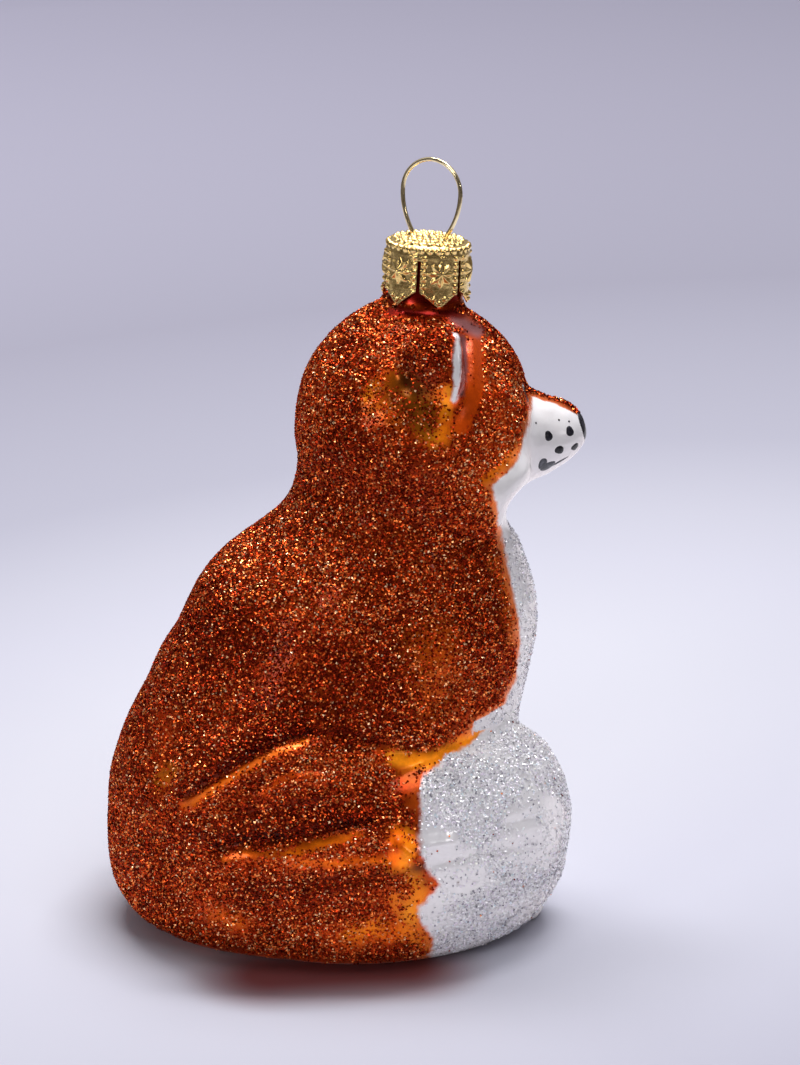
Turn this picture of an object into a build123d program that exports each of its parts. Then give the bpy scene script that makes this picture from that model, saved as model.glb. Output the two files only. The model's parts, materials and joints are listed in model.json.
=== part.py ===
"""Hanging fox figurine: a mouth-blown glass fox that sits with its tail laid round its right side,
a stamped crown cap on its neck tube, and a bent wire hanger whose sprung legs reach down that tube.

The fox looks along -Y and stands on the plane Z = 0. The origin lies on that plane, below the foot
of the neck tube. All sizes are in millimetres, and all angles in degrees.
"""

import os
from math import acos, cos, degrees, radians, sin

from build123d import *

os.makedirs("parts", exist_ok=True)

# Glass
wall = 0.8
overrun = 1.0

# Head, its middle at head_height
head_height = 67.6
head_back = 1.4
head_half_width = 16.5
head_half_depth = 15.8
head_half_height = 17.6

# Torso, from the flat base up into the head
torso_rise_in_head = 3.4
torso_height = head_height + torso_rise_in_head
chest_reach = 15.0
back_reach = 43.2
torso_half_width = 24.5
# height of each level section, then its chest, its back and its half width
torso_section_shares = (
    (0.000, 0.66, 0.880, 0.780),
    (0.042, 0.72, 0.955, 0.880),
    (0.113, 0.75, 0.998, 0.960),
    (0.211, 0.76, 1.000, 1.000),
    (0.310, 0.78, 0.980, 0.988),
    (0.422, 0.870, 0.905, 0.920),
    (0.521, 0.970, 0.830, 0.843),
    (0.613, 1.000, 0.745, 0.784),
    (0.711, 0.860, 0.630, 0.700),
    (0.803, 0.747, 0.440, 0.608),
    (0.859, 0.700, 0.398, 0.557),
    (0.930, 0.600, 0.380, 0.530),
    (1.000, 0.400, 0.320, 0.430),
)

# Cheek ruffs
cheek_side = 9.5
cheek_front = 5.5
cheek_drop = 5.1
cheek_height = head_height - cheek_drop
cheek_half_width = 6.8
cheek_half_depth = 7.6
cheek_half_height = 6.6

# Muzzle, from its root inside the head to the ball of the nose
muzzle_root_front = 5.0
muzzle_root_drop = 2.8
muzzle_root_height = head_height - muzzle_root_drop
muzzle_root_half_width = 9.5
muzzle_root_half_height = 11.6
muzzle_tip_front = 17.4
muzzle_tip_drop = 2.0
muzzle_tip_height = head_height - muzzle_tip_drop
muzzle_tip_half_width = 4.9
muzzle_tip_half_height = 5.3
nose_reach = 4.4

# Ears, cupped at the front
ear_side = 11.3
ear_back = 0.6
ear_rise = 7.8
ear_height = head_height + ear_rise
ear_half_width = 4.4
ear_half_depth = 5.2
ear_half_height = 9.4
ear_lean = 14.0
ear_cup_front = 6.0
ear_cup_half_width = 3.2
ear_cup_half_depth = 4.4
ear_cup_half_height = 7.2

# Thighs, and the left hind paw that the tail leaves uncovered
thigh_side = 14.5
thigh_back = 19.0
thigh_height = 17.5
thigh_half_width = 11.2
thigh_half_depth = 18.0
thigh_half_height = 19.0
hind_paw_side = 18.5
hind_paw_front = 0.5
hind_paw_half_width = 5.6
hind_paw_half_length = 10.0
hind_paw_height = 8.0

# Front legs and paws
leg_side = 6.6
leg_top_front = 3.4
leg_top_drop = 25.6
leg_top_height = head_height - leg_top_drop
leg_top_radius = 6.6
leg_foot_front = 8.2
leg_foot_radius = 5.2
paw_front = 9.4
paw_half_width = 5.4
paw_half_length = 6.0
paw_height = 8.4

# Tail, laid round the right side from the back to the front
tail_ring_back = 9.5
tail_ring_half_width = 18.3
tail_ring_half_depth = 21.0
tail_start_angle = 12.0
tail_end_angle = 140.0
tail_half_thickness = 10.0
tail_half_height = 15.2
tail_tip_half_length = 14.2
tail_sink_share = 0.06
# way along the tail, and its girth there
tail_section_shares = (
    (0.00, 0.60),
    (0.18, 0.72),
    (0.38, 0.84),
    (0.58, 0.94),
    (0.80, 0.99),
    (1.00, 1.00),
)

# Neck tube, which leans a little forwards
neck_stand = 7.8
neck_top_height = head_height + head_half_height + neck_stand
neck_forward = 0.4
neck_lean = 3.2
neck_radius = 4.95
neck_length = 13.0

# Crown cap
cap_sheet = 0.25
cap_gap = 0.3
cap_flare = 0.15
cap_length = 7.9
cap_shoulder = 0.55
cap_petals = 6
cap_turn = 10.0
cap_slit_width = 0.36
cap_slit_drop = 1.9
cap_point_length = 2.3
cap_point_width = 0.5

# Hanger wire
wire_radius = 0.29
hole_gap = 0.21
leg_half_spacing = 2.5
leg_bend_radius = 0.9
leg_bend_rise = 0.35
leg_straight = 1.2
leg_flare_angle = 4.0
leg_length = 7.6
loop_half_width = 4.3
loop_side_radius = 9.4
hanger_turn = 52.0

quarter_turn = 90
full_turn = 360

neck_frame = Plane(
    origin=(0, -neck_forward, neck_top_height),
    x_dir=(1, 0, 0),
    z_dir=(0, -sin(radians(neck_lean)), cos(radians(neck_lean))),
)
neck_axis = Axis(neck_frame.origin, neck_frame.z_dir)


def neck_level(turn):
    """Plane across the top of the neck, turned about the neck's axis."""
    return Plane(neck_frame.location * Rotation(0, 0, turn))


def neck_upright(turn):
    """Plane that holds the neck's axis as its Y, with its X pointing out at an angle round it."""
    level = neck_level(turn)
    return Plane(origin=level.origin, x_dir=level.x_dir, z_dir=-level.y_dir)


def ball(half_width, half_depth, half_height, place, lean=0):
    """Ellipsoid of three half sizes, leaned sideways about its centre, at its place."""
    unit = Sphere(1, mode=Mode.PRIVATE)
    stretched = scale(unit, by=(half_width, half_depth, half_height), mode=Mode.PRIVATE)
    return Location(place, (0, lean, 0)) * stretched


def tail_plane(angle, girth):
    """Upright plane across the tail, at an angle round the body from the back."""
    turn = radians(angle)
    x = -tail_ring_half_width * sin(turn)
    y = tail_ring_back + tail_ring_half_depth * cos(turn)
    along = Vector(-tail_ring_half_width * cos(turn), -tail_ring_half_depth * sin(turn), 0)
    height = tail_half_height * girth * (1 - tail_sink_share)
    return Plane(origin=(x, y, height), x_dir=along.cross(Vector(0, 0, 1)), z_dir=along)


def make_torso(inset):
    """Body, as one loft through level ellipses."""
    with BuildPart() as torso:
        for level, chest, back, width in torso_section_shares:
            front_reach = chest * chest_reach - inset
            rear_reach = back * back_reach - inset
            with BuildSketch(Plane.XY.offset(max(level * torso_height, inset))):
                with Locations((0, (rear_reach - front_reach) / 2)):
                    Ellipse(width * torso_half_width - inset, (rear_reach + front_reach) / 2)
        loft()
    return torso.part


def make_head(inset):
    """Skull, cheek ruffs, muzzle and ears."""
    skull_place = (0, head_back, head_height)
    nose_place = (0, -muzzle_tip_front, muzzle_tip_height)
    muzzle_plane = Plane.XZ.offset(muzzle_root_front)
    with BuildPart() as head:
        add(ball(head_half_width - inset, head_half_depth - inset, head_half_height - inset, skull_place))
        with BuildSketch(muzzle_plane):
            with Locations((0, muzzle_root_height)):
                Ellipse(muzzle_root_half_width - inset, muzzle_root_half_height - inset)
        with BuildSketch(muzzle_plane.offset(muzzle_tip_front - muzzle_root_front)):
            with Locations((0, muzzle_tip_height)):
                Ellipse(muzzle_tip_half_width - inset, muzzle_tip_half_height - inset)
        loft()
        add(ball(muzzle_tip_half_width - inset, nose_reach - inset, muzzle_tip_half_height - inset, nose_place))
        for side in (-1, 1):
            cheek_place = (side * cheek_side, -cheek_front, cheek_height)
            add(ball(cheek_half_width - inset, cheek_half_depth - inset, cheek_half_height - inset, cheek_place))
            ear = ball(
                ear_half_width - inset,
                ear_half_depth - inset,
                ear_half_height - inset,
                (side * ear_side, ear_back, ear_height),
                side * ear_lean,
            )
            cup = ball(
                ear_cup_half_width + inset,
                ear_cup_half_depth + inset,
                ear_cup_half_height + inset,
                (side * ear_side, -ear_cup_front, ear_height),
                side * ear_lean,
            )
            add(ear - cup)
    return head.part


def make_legs(inset):
    """Thighs, front legs, front paws and the left hind paw."""
    hind_place = (hind_paw_side, -hind_paw_front, 0)
    with BuildPart() as legs:
        for side in (-1, 1):
            thigh_place = (side * thigh_side, thigh_back, thigh_height)
            paw_place = (side * leg_side, -paw_front, 0)
            add(ball(thigh_half_width - inset, thigh_half_depth - inset, thigh_half_height - inset, thigh_place))
            add(ball(paw_half_width - inset, paw_half_length - inset, paw_height - inset, paw_place))
            with BuildSketch(Plane((side * leg_side, -leg_foot_front, inset))):
                Circle(leg_foot_radius - inset)
            with BuildSketch(Plane((side * leg_side, -leg_top_front, leg_top_height))):
                Circle(leg_top_radius - inset)
            loft()
        add(ball(hind_paw_half_width - inset, hind_paw_half_length - inset, hind_paw_height - inset, hind_place))
    return legs.part


def make_tail(inset):
    """Bushy tail: a loft round the body, closed by half a ball that meets it face to face."""
    ball_sizes = (tail_half_thickness - inset, tail_half_height - inset, tail_tip_half_length - inset)
    tip = split(ball(*ball_sizes, (0, 0, 0)), bisect_by=Plane.XY, keep=Keep.TOP, mode=Mode.PRIVATE)
    with BuildPart() as tail:
        for way, girth in tail_section_shares:
            angle = tail_start_angle + way * (tail_end_angle - tail_start_angle)
            with BuildSketch(tail_plane(angle, girth)):
                Ellipse(tail_half_thickness * girth - inset, tail_half_height * girth - inset)
        loft()
        add(tail_plane(tail_end_angle, 1).location * tip)
    return tail.part


def make_form(inset):
    """The fox's whole outline as a solid, its skin moved inwards by inset."""
    masses = [make_torso(inset), make_head(inset), make_legs(inset), make_tail(inset)]
    with BuildPart() as form:
        add(masses)
        split(bisect_by=Plane.XY.offset(inset), keep=Keep.TOP)
    return form.part


# Hollow inside the glass, up through the neck tube
hollow_form = make_form(wall)

with BuildPart() as hollow:
    add(hollow_form)
    with BuildSketch(neck_frame):
        Circle(neck_radius - wall)
    extrude(amount=-neck_length)

# Blown glass figure, open at the top of its neck
outer_form = make_form(0)

with BuildPart() as glass_figure:
    add(outer_form)
    with BuildSketch(neck_frame.offset(-cap_sheet)):
        Circle(neck_radius)
    extrude(amount=cap_sheet - neck_length)
    add(hollow.part, mode=Mode.SUBTRACT)

glass_figure.part.label = "glass_figure"
export_step(glass_figure.part, "parts/glass_figure.step")

# Crown cap: a stamped cup with pointed petals, pierced twice for the hanger
cap_radius = neck_radius + cap_gap + cap_sheet
cap_tip_radius = cap_radius + cap_flare
petal_angle = full_turn / cap_petals
petal_half_width = cap_tip_radius * sin(radians(petal_angle / 2))
hole_radius = wire_radius + hole_gap

with BuildPart() as cap:
    with BuildSketch(neck_upright(0)) as cap_profile:
        with BuildLine():
            Polyline(
                (0, 0),
                (cap_radius, 0),
                (cap_tip_radius, -cap_length),
                (cap_tip_radius - cap_sheet, -cap_length),
                (cap_radius - cap_sheet, -cap_sheet),
                (0, -cap_sheet),
                close=True,
            )
        make_face()
        shoulder = cap_profile.vertices().sort_by_distance((cap_radius, 0))[0]
        fillet(shoulder, cap_shoulder)
        inner_shoulder = cap_profile.vertices().sort_by_distance((cap_radius - cap_sheet, -cap_sheet))[0]
        fillet(inner_shoulder, cap_shoulder - cap_sheet)
    revolve(axis=neck_axis)
    for petal in range(cap_petals):
        slit_turn = cap_turn + (petal + 1 / 2) * petal_angle
        with BuildSketch(neck_upright(slit_turn + quarter_turn)):
            with BuildLine():
                Polyline(
                    (-cap_slit_width / 2, -cap_slit_drop),
                    (cap_slit_width / 2, -cap_slit_drop),
                    (cap_slit_width / 2, -cap_length + cap_point_length),
                    (petal_half_width - cap_point_width / 2, -cap_length),
                    (petal_half_width - cap_point_width / 2, -cap_length - overrun),
                    (cap_point_width / 2 - petal_half_width, -cap_length - overrun),
                    (cap_point_width / 2 - petal_half_width, -cap_length),
                    (-cap_slit_width / 2, -cap_length + cap_point_length),
                    close=True,
                )
            make_face()
        extrude(amount=cap_tip_radius + overrun, mode=Mode.SUBTRACT)
    with BuildSketch(neck_level(hanger_turn)):
        with Locations((-leg_half_spacing, 0), (leg_half_spacing, 0)):
            Circle(hole_radius)
    extrude(amount=-cap_sheet - overrun, mode=Mode.SUBTRACT)

cap.part.label = "cap"
export_step(cap.part, "parts/cap.step")

# Hanger: one wire, from leg to leg over the oval loop
side_angle = degrees(acos(1 - (loop_half_width - leg_half_spacing) / (loop_side_radius + leg_bend_radius)))
side_rise = (loop_side_radius + leg_bend_radius) * sin(radians(side_angle))
loop_top = leg_bend_rise + side_rise + loop_half_width

with BuildLine() as whole_wire:
    top_arc = JernArc((0, loop_top), (1, 0), loop_half_width, -quarter_turn)
    side_arc = JernArc(top_arc @ 1, top_arc % 1, loop_side_radius, -side_angle)
    bend = JernArc(side_arc @ 1, side_arc % 1, leg_bend_radius, side_angle)
    upper_leg = Line(bend @ 1, bend @ 1 + (bend % 1) * (leg_straight + leg_bend_rise))
    flare = JernArc(upper_leg @ 1, upper_leg % 1, leg_bend_radius, leg_flare_angle)
    Line(flare @ 1, flare @ 1 + (flare % 1) * leg_length)
    mirror(about=Plane.YZ)

wire_path = neck_upright(hanger_turn).location * whole_wire.wire()

with BuildPart() as hanger_wire:
    with BuildSketch(Plane(origin=wire_path @ 0, z_dir=wire_path % 0)):
        Circle(wire_radius)
    sweep(path=wire_path)

hanger_wire.part.label = "hanger_wire"
export_step(hanger_wire.part, "parts/hanger_wire.step")
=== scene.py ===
"""Looks of a hanging glass fox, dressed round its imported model.

The fox is blown glass, silvered inside, lacquered orange and pearl white, and strewn with glitter.
A stamped gold cap sits on its neck tube and holds a bent wire hanger. All sizes are in metres.
Places read off the photograph are pixels of its frame, 800 wide and 1065 high.
"""

import json
import logging
from dataclasses import dataclass, field
from enum import Enum
from math import asin, atan2, cos, pi, radians, sin, tau

import bmesh
import bpy
import numpy as np
from mathutils import Matrix, Vector, noise
from mathutils.bvhtree import BVHTree


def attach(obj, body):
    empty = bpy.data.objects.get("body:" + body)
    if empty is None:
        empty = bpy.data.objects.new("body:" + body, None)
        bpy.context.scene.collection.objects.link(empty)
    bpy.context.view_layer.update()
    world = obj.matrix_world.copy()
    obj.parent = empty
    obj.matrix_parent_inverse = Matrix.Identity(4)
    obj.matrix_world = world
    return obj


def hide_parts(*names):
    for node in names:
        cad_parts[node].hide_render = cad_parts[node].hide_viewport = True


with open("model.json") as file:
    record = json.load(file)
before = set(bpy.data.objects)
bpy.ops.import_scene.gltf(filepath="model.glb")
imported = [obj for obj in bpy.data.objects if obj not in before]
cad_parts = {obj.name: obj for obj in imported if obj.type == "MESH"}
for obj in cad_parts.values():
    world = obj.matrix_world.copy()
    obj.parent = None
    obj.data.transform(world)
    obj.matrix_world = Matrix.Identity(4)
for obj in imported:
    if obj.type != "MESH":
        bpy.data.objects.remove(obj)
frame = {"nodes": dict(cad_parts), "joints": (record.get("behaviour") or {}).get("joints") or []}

log = logging.getLogger("fox")

MM = 0.001

Point = tuple[float, float]
Line = tuple[Point, ...]
Place = tuple[float, float, float]
Colour = tuple[float, float, float]
Stops = tuple[tuple[float, Colour], ...]


class Body(Enum):
    """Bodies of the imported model."""

    FIGURE = "figure"
    CROWN = "crown"
    HANGER = "hanger"


class Slot(Enum):
    """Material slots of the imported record."""

    LACQUER = "lacquered_glass"
    CAP = "gold_cap"
    WIRE = "gold_wire"
    WHITE = "white_lacquer"
    BLACK = "black_enamel"
    COPPER = "copper_glitter"
    FROST = "white_glitter"


def smooth_step(low: float, high: float, values: np.ndarray) -> np.ndarray:
    """Rise from 0 to 1 between two values, flat at both ends.

    Args:
        low: Value at which the rise starts.
        high: Value at which it ends.
        values: Values to turn into shares.

    Returns:
        Shares from 0 to 1.
    """
    share = np.clip((values - low) / (high - low), 0, 1)
    return share * share * (3 - 2 * share)


def cloud(places: np.ndarray, size: float, seed: float, detail: int = 2) -> np.ndarray:
    """Smooth noise at each place.

    Args:
        places: Places, one a row.
        size: Size of its largest lumps.
        seed: Shift that makes one cloud differ from another.
        detail: Count of its octaves.

    Returns:
        Values from about -1 to 1.
    """
    shift = Vector((seed, seed * 0.7, -seed))
    return np.array([noise.fractal(Vector(p) / size + shift, 1.0, 2.0, detail) for p in places])


class Signal:
    """One socket of a node tree, used in an expression as a number would be."""

    def __init__(self, sheet: "NodeSheet", socket: bpy.types.NodeSocket | None) -> None:
        """Hold the socket and the sheet that it is on."""
        self.sheet = sheet
        self.socket = socket

    def math(self, operation: str, *others: "Signal | float") -> "Signal":
        """Join this signal and others in one Math node."""
        sockets = dict(enumerate((self, *others)))
        return self.sheet.node("ShaderNodeMath", {"operation": operation}, sockets)

    def __add__(self, other: "Signal | float") -> "Signal":
        """Sum of two values."""
        return self.math("ADD", other)

    __radd__ = __add__

    def __mul__(self, other: "Signal | float") -> "Signal":
        """Product of two values."""
        return self.math("MULTIPLY", other)

    __rmul__ = __mul__

    def __sub__(self, other: "Signal | float") -> "Signal":
        """Difference of two values."""
        return self.math("SUBTRACT", other)

    def __rsub__(self, other: float) -> "Signal":
        """Difference of a number and this value."""
        return (self * -1.0).math("ADD", other)

    def __pow__(self, other: "Signal | float") -> "Signal":
        """Power of this value."""
        return self.math("POWER", other)

    def other(self, output: str) -> "Signal":
        """Another output of this signal's node."""
        return Signal(self.sheet, self.socket.node.outputs[output])

    def at_most(self, other: "Signal | float") -> "Signal":
        """Smaller of two values."""
        return self.math("MINIMUM", other)

    def at_least(self, other: "Signal | float") -> "Signal":
        """Larger of two values."""
        return self.math("MAXIMUM", other)

    def rise(self, low: float, high: float) -> "Signal":
        """Smooth rise from 0 to 1 between two values."""
        sockets = {"Value": self, "From Min": low, "From Max": high}
        return self.sheet.node("ShaderNodeMapRange", {"interpolation_type": "SMOOTHSTEP"}, sockets)


class NodeSheet:
    """A node tree that is written as expressions."""

    def __init__(self, tree: bpy.types.NodeTree) -> None:
        """Clear the tree."""
        self.tree = tree
        tree.nodes.clear()

    def node(
        self,
        kind: str,
        settings: dict[str, object] | None = None,
        sockets: dict[str | int, object] | None = None,
        output: str | int = 0,
    ) -> Signal:
        """Add one node.

        Args:
            kind: Blender's name of the node's type.
            settings: The node's own settings, which are set first. A ramp's stops are under "stops".
            sockets: Values or signals for its inputs, by name or by number.
            output: Name or number of the output to use.

        Returns:
            The chosen output, or an empty signal where the node has none.
        """
        made = self.tree.nodes.new(kind)
        for name, value in (settings or {}).items():
            if name == "stops":
                self.fill_ramp(made.color_ramp, value)
            else:
                setattr(made, name, value)
        for key, value in (sockets or {}).items():
            socket = self.find(made.inputs, key)
            if isinstance(value, Signal):
                self.tree.links.new(value.socket, socket)
            else:
                socket.default_value = value
        return Signal(self, self.find(made.outputs, output) if len(made.outputs) else None)

    @staticmethod
    def find(sockets: bpy.types.bpy_prop_collection, key: str | int) -> bpy.types.NodeSocket:
        """Find a socket.

        Args:
            sockets: Inputs or outputs of a node.
            key: The socket's name or number.

        Returns:
            The socket with that number, or the one in use with that name.
        """
        if isinstance(key, int):
            return sockets[key]
        return next(s for s in sockets if s.name == key and s.enabled)

    @staticmethod
    def fill_ramp(ramp: bpy.types.ColorRamp, stops: Stops) -> None:
        """Give a colour ramp its stops.

        Args:
            ramp: The ramp.
            stops: Place and colour of each stop, in order.
        """
        while len(ramp.elements) < len(stops):
            ramp.elements.new(1.0)
        for element, (place, colour) in zip(ramp.elements, stops):
            element.position = place
            element.color = (*colour, 1.0)

    def attribute(self, name: str) -> Signal:
        """Value that the mesh holds at each vertex, for a finish."""
        return self.node("ShaderNodeAttribute", {"attribute_name": name}, output="Fac")

    def held(self, name: str) -> Signal:
        """Value that the mesh holds at each vertex, for strewing."""
        return self.node("GeometryNodeInputNamedAttribute", {"data_type": "FLOAT"}, {"Name": name})

    def mix(self, share: Signal | float, first: Signal | Colour, second: Signal | Colour) -> Signal:
        """Mix two colours.

        Args:
            share: Share of the second, from 0 to 1.
            first: Colour at 0.
            second: Colour at 1.

        Returns:
            The colour between them.
        """
        ends = [c if isinstance(c, Signal) else (*c, 1.0) for c in (first, second)]
        sockets = {0: share, 6: ends[0], 7: ends[1]}
        return self.node("ShaderNodeMix", {"data_type": "RGBA"}, sockets, 2)

    def place(self) -> Signal:
        """Place on the object, in metres."""
        return self.node("ShaderNodeTexCoord", output="Object")

    def noise(self, size: float, detail: float = 2.0, roughness: float = 0.5, shift: float = 0.0) -> Signal:
        """Noise with lumps of a size.

        Args:
            size: Size of its largest lumps.
            detail: Count of its octaves.
            roughness: Strength of each octave against the one before.
            shift: Shift that makes one noise differ from another.

        Returns:
            Values from 0 to 1.
        """
        moved = self.node("ShaderNodeMapping", sockets={0: self.place(), 1: (shift, shift, shift)})
        sockets = {"Vector": moved, "Scale": 1 / size, "Detail": detail, "Roughness": roughness}
        return self.node("ShaderNodeTexNoise", sockets=sockets)

    def grains(self, size: float) -> Signal:
        """Random colour of each cell of a size."""
        sockets = {"Vector": self.place(), "Scale": 1 / size}
        return self.node("ShaderNodeTexVoronoi", sockets=sockets, output="Color")

    def bump(self, height: Signal, depth: float) -> Signal:
        """Normal of a surface whose height varies by a depth in metres."""
        return self.node("ShaderNodeBump", sockets={"Height": height, "Distance": depth, "Strength": 1.0})


class Finish:
    """A material, whose values and signals come from its dress method."""

    name = "finish"

    def material(self) -> bpy.types.Material:
        """Make the material.

        Returns:
            The new material.
        """
        made = bpy.data.materials.new(self.name)
        made.use_nodes = True
        sheet = NodeSheet(made.node_tree)
        shader = sheet.node("ShaderNodeBsdfPrincipled", sockets=self.dress(sheet))
        sheet.node("ShaderNodeOutputMaterial", sockets={"Surface": shader})
        return made

    def dress(self, sheet: NodeSheet) -> dict[str | int, object]:
        """Values and signals for the shader's sockets."""
        raise NotImplementedError


@dataclass(frozen=True)
class Lacquer(Finish):
    """Orange and pearl white lacquer on silvered glass, with painted highlights, painted shade and a painted
    glow.
    """

    name: str = "lacquered_silver"
    deep: Colour = (0.36, 0.022, 0.003)
    orange: Colour = (0.82, 0.090, 0.004)
    # Painted highlight: bright yellow-orange where light falls on bare lacquer.
    amber: Colour = (0.95, 0.33, 0.010)
    # Painted highlight: brighter orange on ridges and faces that catch the light.
    glow: Colour = (0.84, 0.095, 0.003)
    # Painted shade: near-black brown in grooves and hollows.
    umber: Colour = (0.032, 0.004, 0.002)
    bed_dark: Colour = (0.060, 0.004, 0.001)
    bed_light: Colour = (0.240, 0.026, 0.004)
    peach: Colour = (0.84, 0.21, 0.060)
    pearl: Colour = (0.90, 0.88, 0.90)
    pearl_shade: Colour = (0.86, 0.84, 0.87)
    veil: Colour = (0.30, 0.13, 0.14)
    neck: Colour = (0.20, 0.005, 0.003)
    # Painted glow: emitted orange on the brightest highlights, though the glass is no lamp.
    ember: Colour = (0.42, 0.100, 0.002)

    def dress(self, sheet: NodeSheet) -> dict[str | int, object]:
        """Colour the skin by the values that it holds, with fine ragged edges, painted highlights, painted
        shade and a painted glow.

        Args:
            sheet: Node tree of the material.

        Returns:
            Values and signals for the shader's sockets.
        """
        rag = sheet.noise(0.9 * MM, 3.0, 0.6) - 0.5
        border = sheet.attribute("white")
        white = (border + rag * 0.8).rise(-0.30, 0.30)
        fringe = (sheet.attribute("fringe") * (1.0 + rag)).at_most(1.0)
        amber = sheet.attribute("amber")
        glow = sheet.attribute("glow")
        bed = sheet.attribute("bed")
        streak = sheet.noise(5.0 * MM, 4.0, 0.62).rise(0.34, 0.66)
        fleck = sheet.noise(0.5 * MM, 2.0, 0.6, 3.0).rise(0.45, 0.75)
        coat = sheet.mix(streak * 0.7 + fleck * 0.3, self.deep, self.orange)
        cell = sheet.node("ShaderNodeSeparateColor", sockets={0: sheet.grains(0.28 * MM)})
        sand = sheet.mix(cell * 0.6 + streak * 0.4, self.bed_dark, self.bed_light)
        coat = sheet.mix(bed * 0.8 * (1.0 - glow), coat, sand)
        # Painted highlights, orange then yellow, over the coat.
        coat = sheet.mix(glow * (0.6 + fleck * 0.4), coat, self.glow)
        coat = sheet.mix(amber, coat, self.amber)
        coat = sheet.mix(fringe * 0.85, coat, self.peach)
        # Painted shade in grooves and hollows.
        coat = sheet.mix(sheet.attribute("umber"), coat, self.umber)
        coat = sheet.mix(sheet.attribute("veil"), coat, self.veil)
        pearl = sheet.mix(sheet.noise(7.0 * MM, 2.0, 0.5, 5.0).rise(0.3, 0.7), self.pearl, self.pearl_shade)
        colour = sheet.mix(white, coat, pearl)
        colour = sheet.mix(sheet.attribute("neck"), colour, self.neck)
        ripple = sheet.noise(2.6 * MM, 2.0, 0.5) + cell * bed * 0.30
        ember = sheet.attribute("ember") * (0.25 + 1.1 * sheet.noise(1.6 * MM, 3.0, 0.6, 8.0).rise(0.3, 0.7))
        # Less metal where highlights are painted, so they read bright.
        metal = (0.85 - glow.at_least(amber) * 0.6) * (1.0 - fringe * 0.3) * (1.0 - white * 0.80)
        return {
            "Base Color": colour,
            "Metallic": metal.at_least(0.05),
            "Roughness": 0.27 + bed * 0.14 - white * 0.03,
            "Specular IOR Level": 0.25,
            "Specular Tint": (1.0, 0.62, 0.45, 1.0),
            "Coat Weight": 0.10 + white * 0.4,
            "Coat Roughness": 0.15,
            # Emission paints a glow on the brightest highlights.
            "Emission Color": sheet.mix(ember * (1.0 - white), (0.0, 0.0, 0.0), self.ember),
            "Emission Strength": 1.0,
            "Normal": sheet.bump(ripple, 0.09 * MM),
        }


@dataclass(frozen=True)
class Silvering(Finish):
    """Silvered inner face of the glass."""

    name: str = "silvered_inside"
    tone: Colour = (0.42, 0.36, 0.34)
    tarnish: Colour = (0.20, 0.15, 0.14)

    def dress(self, sheet: NodeSheet) -> dict[str | int, object]:
        """Lay dull silver with cloudy patches.

        Args:
            sheet: Node tree of the material.

        Returns:
            Values and signals for the shader's sockets.
        """
        cloudy = sheet.noise(3.0 * MM, 3.0, 0.6)
        return {
            "Base Color": sheet.mix(cloudy, self.tone, self.tarnish),
            "Metallic": 0.9,
            "Roughness": 0.35 + cloudy * 0.2,
        }


@dataclass(frozen=True)
class Flakes(Finish):
    """Glitter, each flake in one tone of a ramp."""

    name: str = "glitter"
    stops: Stops = ()
    metal: float = 0.85
    roughness: float = 0.28
    edge: Colour = (1.0, 0.45, 0.25)

    def dress(self, sheet: NodeSheet) -> dict[str | int, object]:
        """Give each flake the tone that it holds.

        Args:
            sheet: Node tree of the material.

        Returns:
            Values and signals for the shader's sockets.
        """
        ramp = sheet.node("ShaderNodeValToRGB", {"stops": self.stops}, {"Fac": sheet.attribute("tone")})
        return {
            "Base Color": ramp,
            "Metallic": self.metal,
            "Roughness": self.roughness,
            "Specular Tint": (*self.edge, 1.0),
        }


@dataclass(frozen=True)
class Enamel(Finish):
    """Glossy paint, brushed on by hand."""

    name: str = "enamel"
    tone: Colour = (0.012, 0.011, 0.016)
    thin: Colour = (0.045, 0.042, 0.060)
    gloss: float = 0.22

    def dress(self, sheet: NodeSheet) -> dict[str | int, object]:
        """Brush on one colour, thinner in places.

        Args:
            sheet: Node tree of the material.

        Returns:
            Values and signals for the shader's sockets.
        """
        brush = sheet.noise(0.8 * MM, 3.0, 0.6)
        return {
            "Base Color": sheet.mix(brush.rise(0.45, 0.8), self.tone, self.thin),
            "Roughness": self.gloss + brush * 0.12,
            "Specular IOR Level": 0.25,
            "Coat Weight": 0.15,
            "Normal": sheet.bump(brush, 0.02 * MM),
        }


@dataclass(frozen=True)
class Gilt(Finish):
    """Gold-coloured metal, with darker dull spots."""

    name: str = "gilt"
    tone: Colour = (0.95, 0.68, 0.26)
    dull: Colour = (0.46, 0.27, 0.08)
    gloss: float = 0.13
    grain: float = 0.02 * MM
    dents: float = 8.0

    def dress(self, sheet: NodeSheet) -> dict[str | int, object]:
        """Polish metal with a fine grain.

        Args:
            sheet: Node tree of the material.

        Returns:
            Values and signals for the shader's sockets.
        """
        patina = sheet.noise(1.2 * MM, 3.0, 0.6).rise(0.42, 0.8)
        hair = sheet.noise(0.12 * MM, 2.0, 0.5) + sheet.noise(1.6 * MM, 2.0, 0.5, 2.0) * self.dents
        return {
            "Base Color": sheet.mix(patina * 0.75, self.tone, self.dull),
            "Metallic": 0.84,
            "Roughness": self.gloss + patina * 0.10,
            "Normal": sheet.bump(hair, self.grain),
        }


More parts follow.
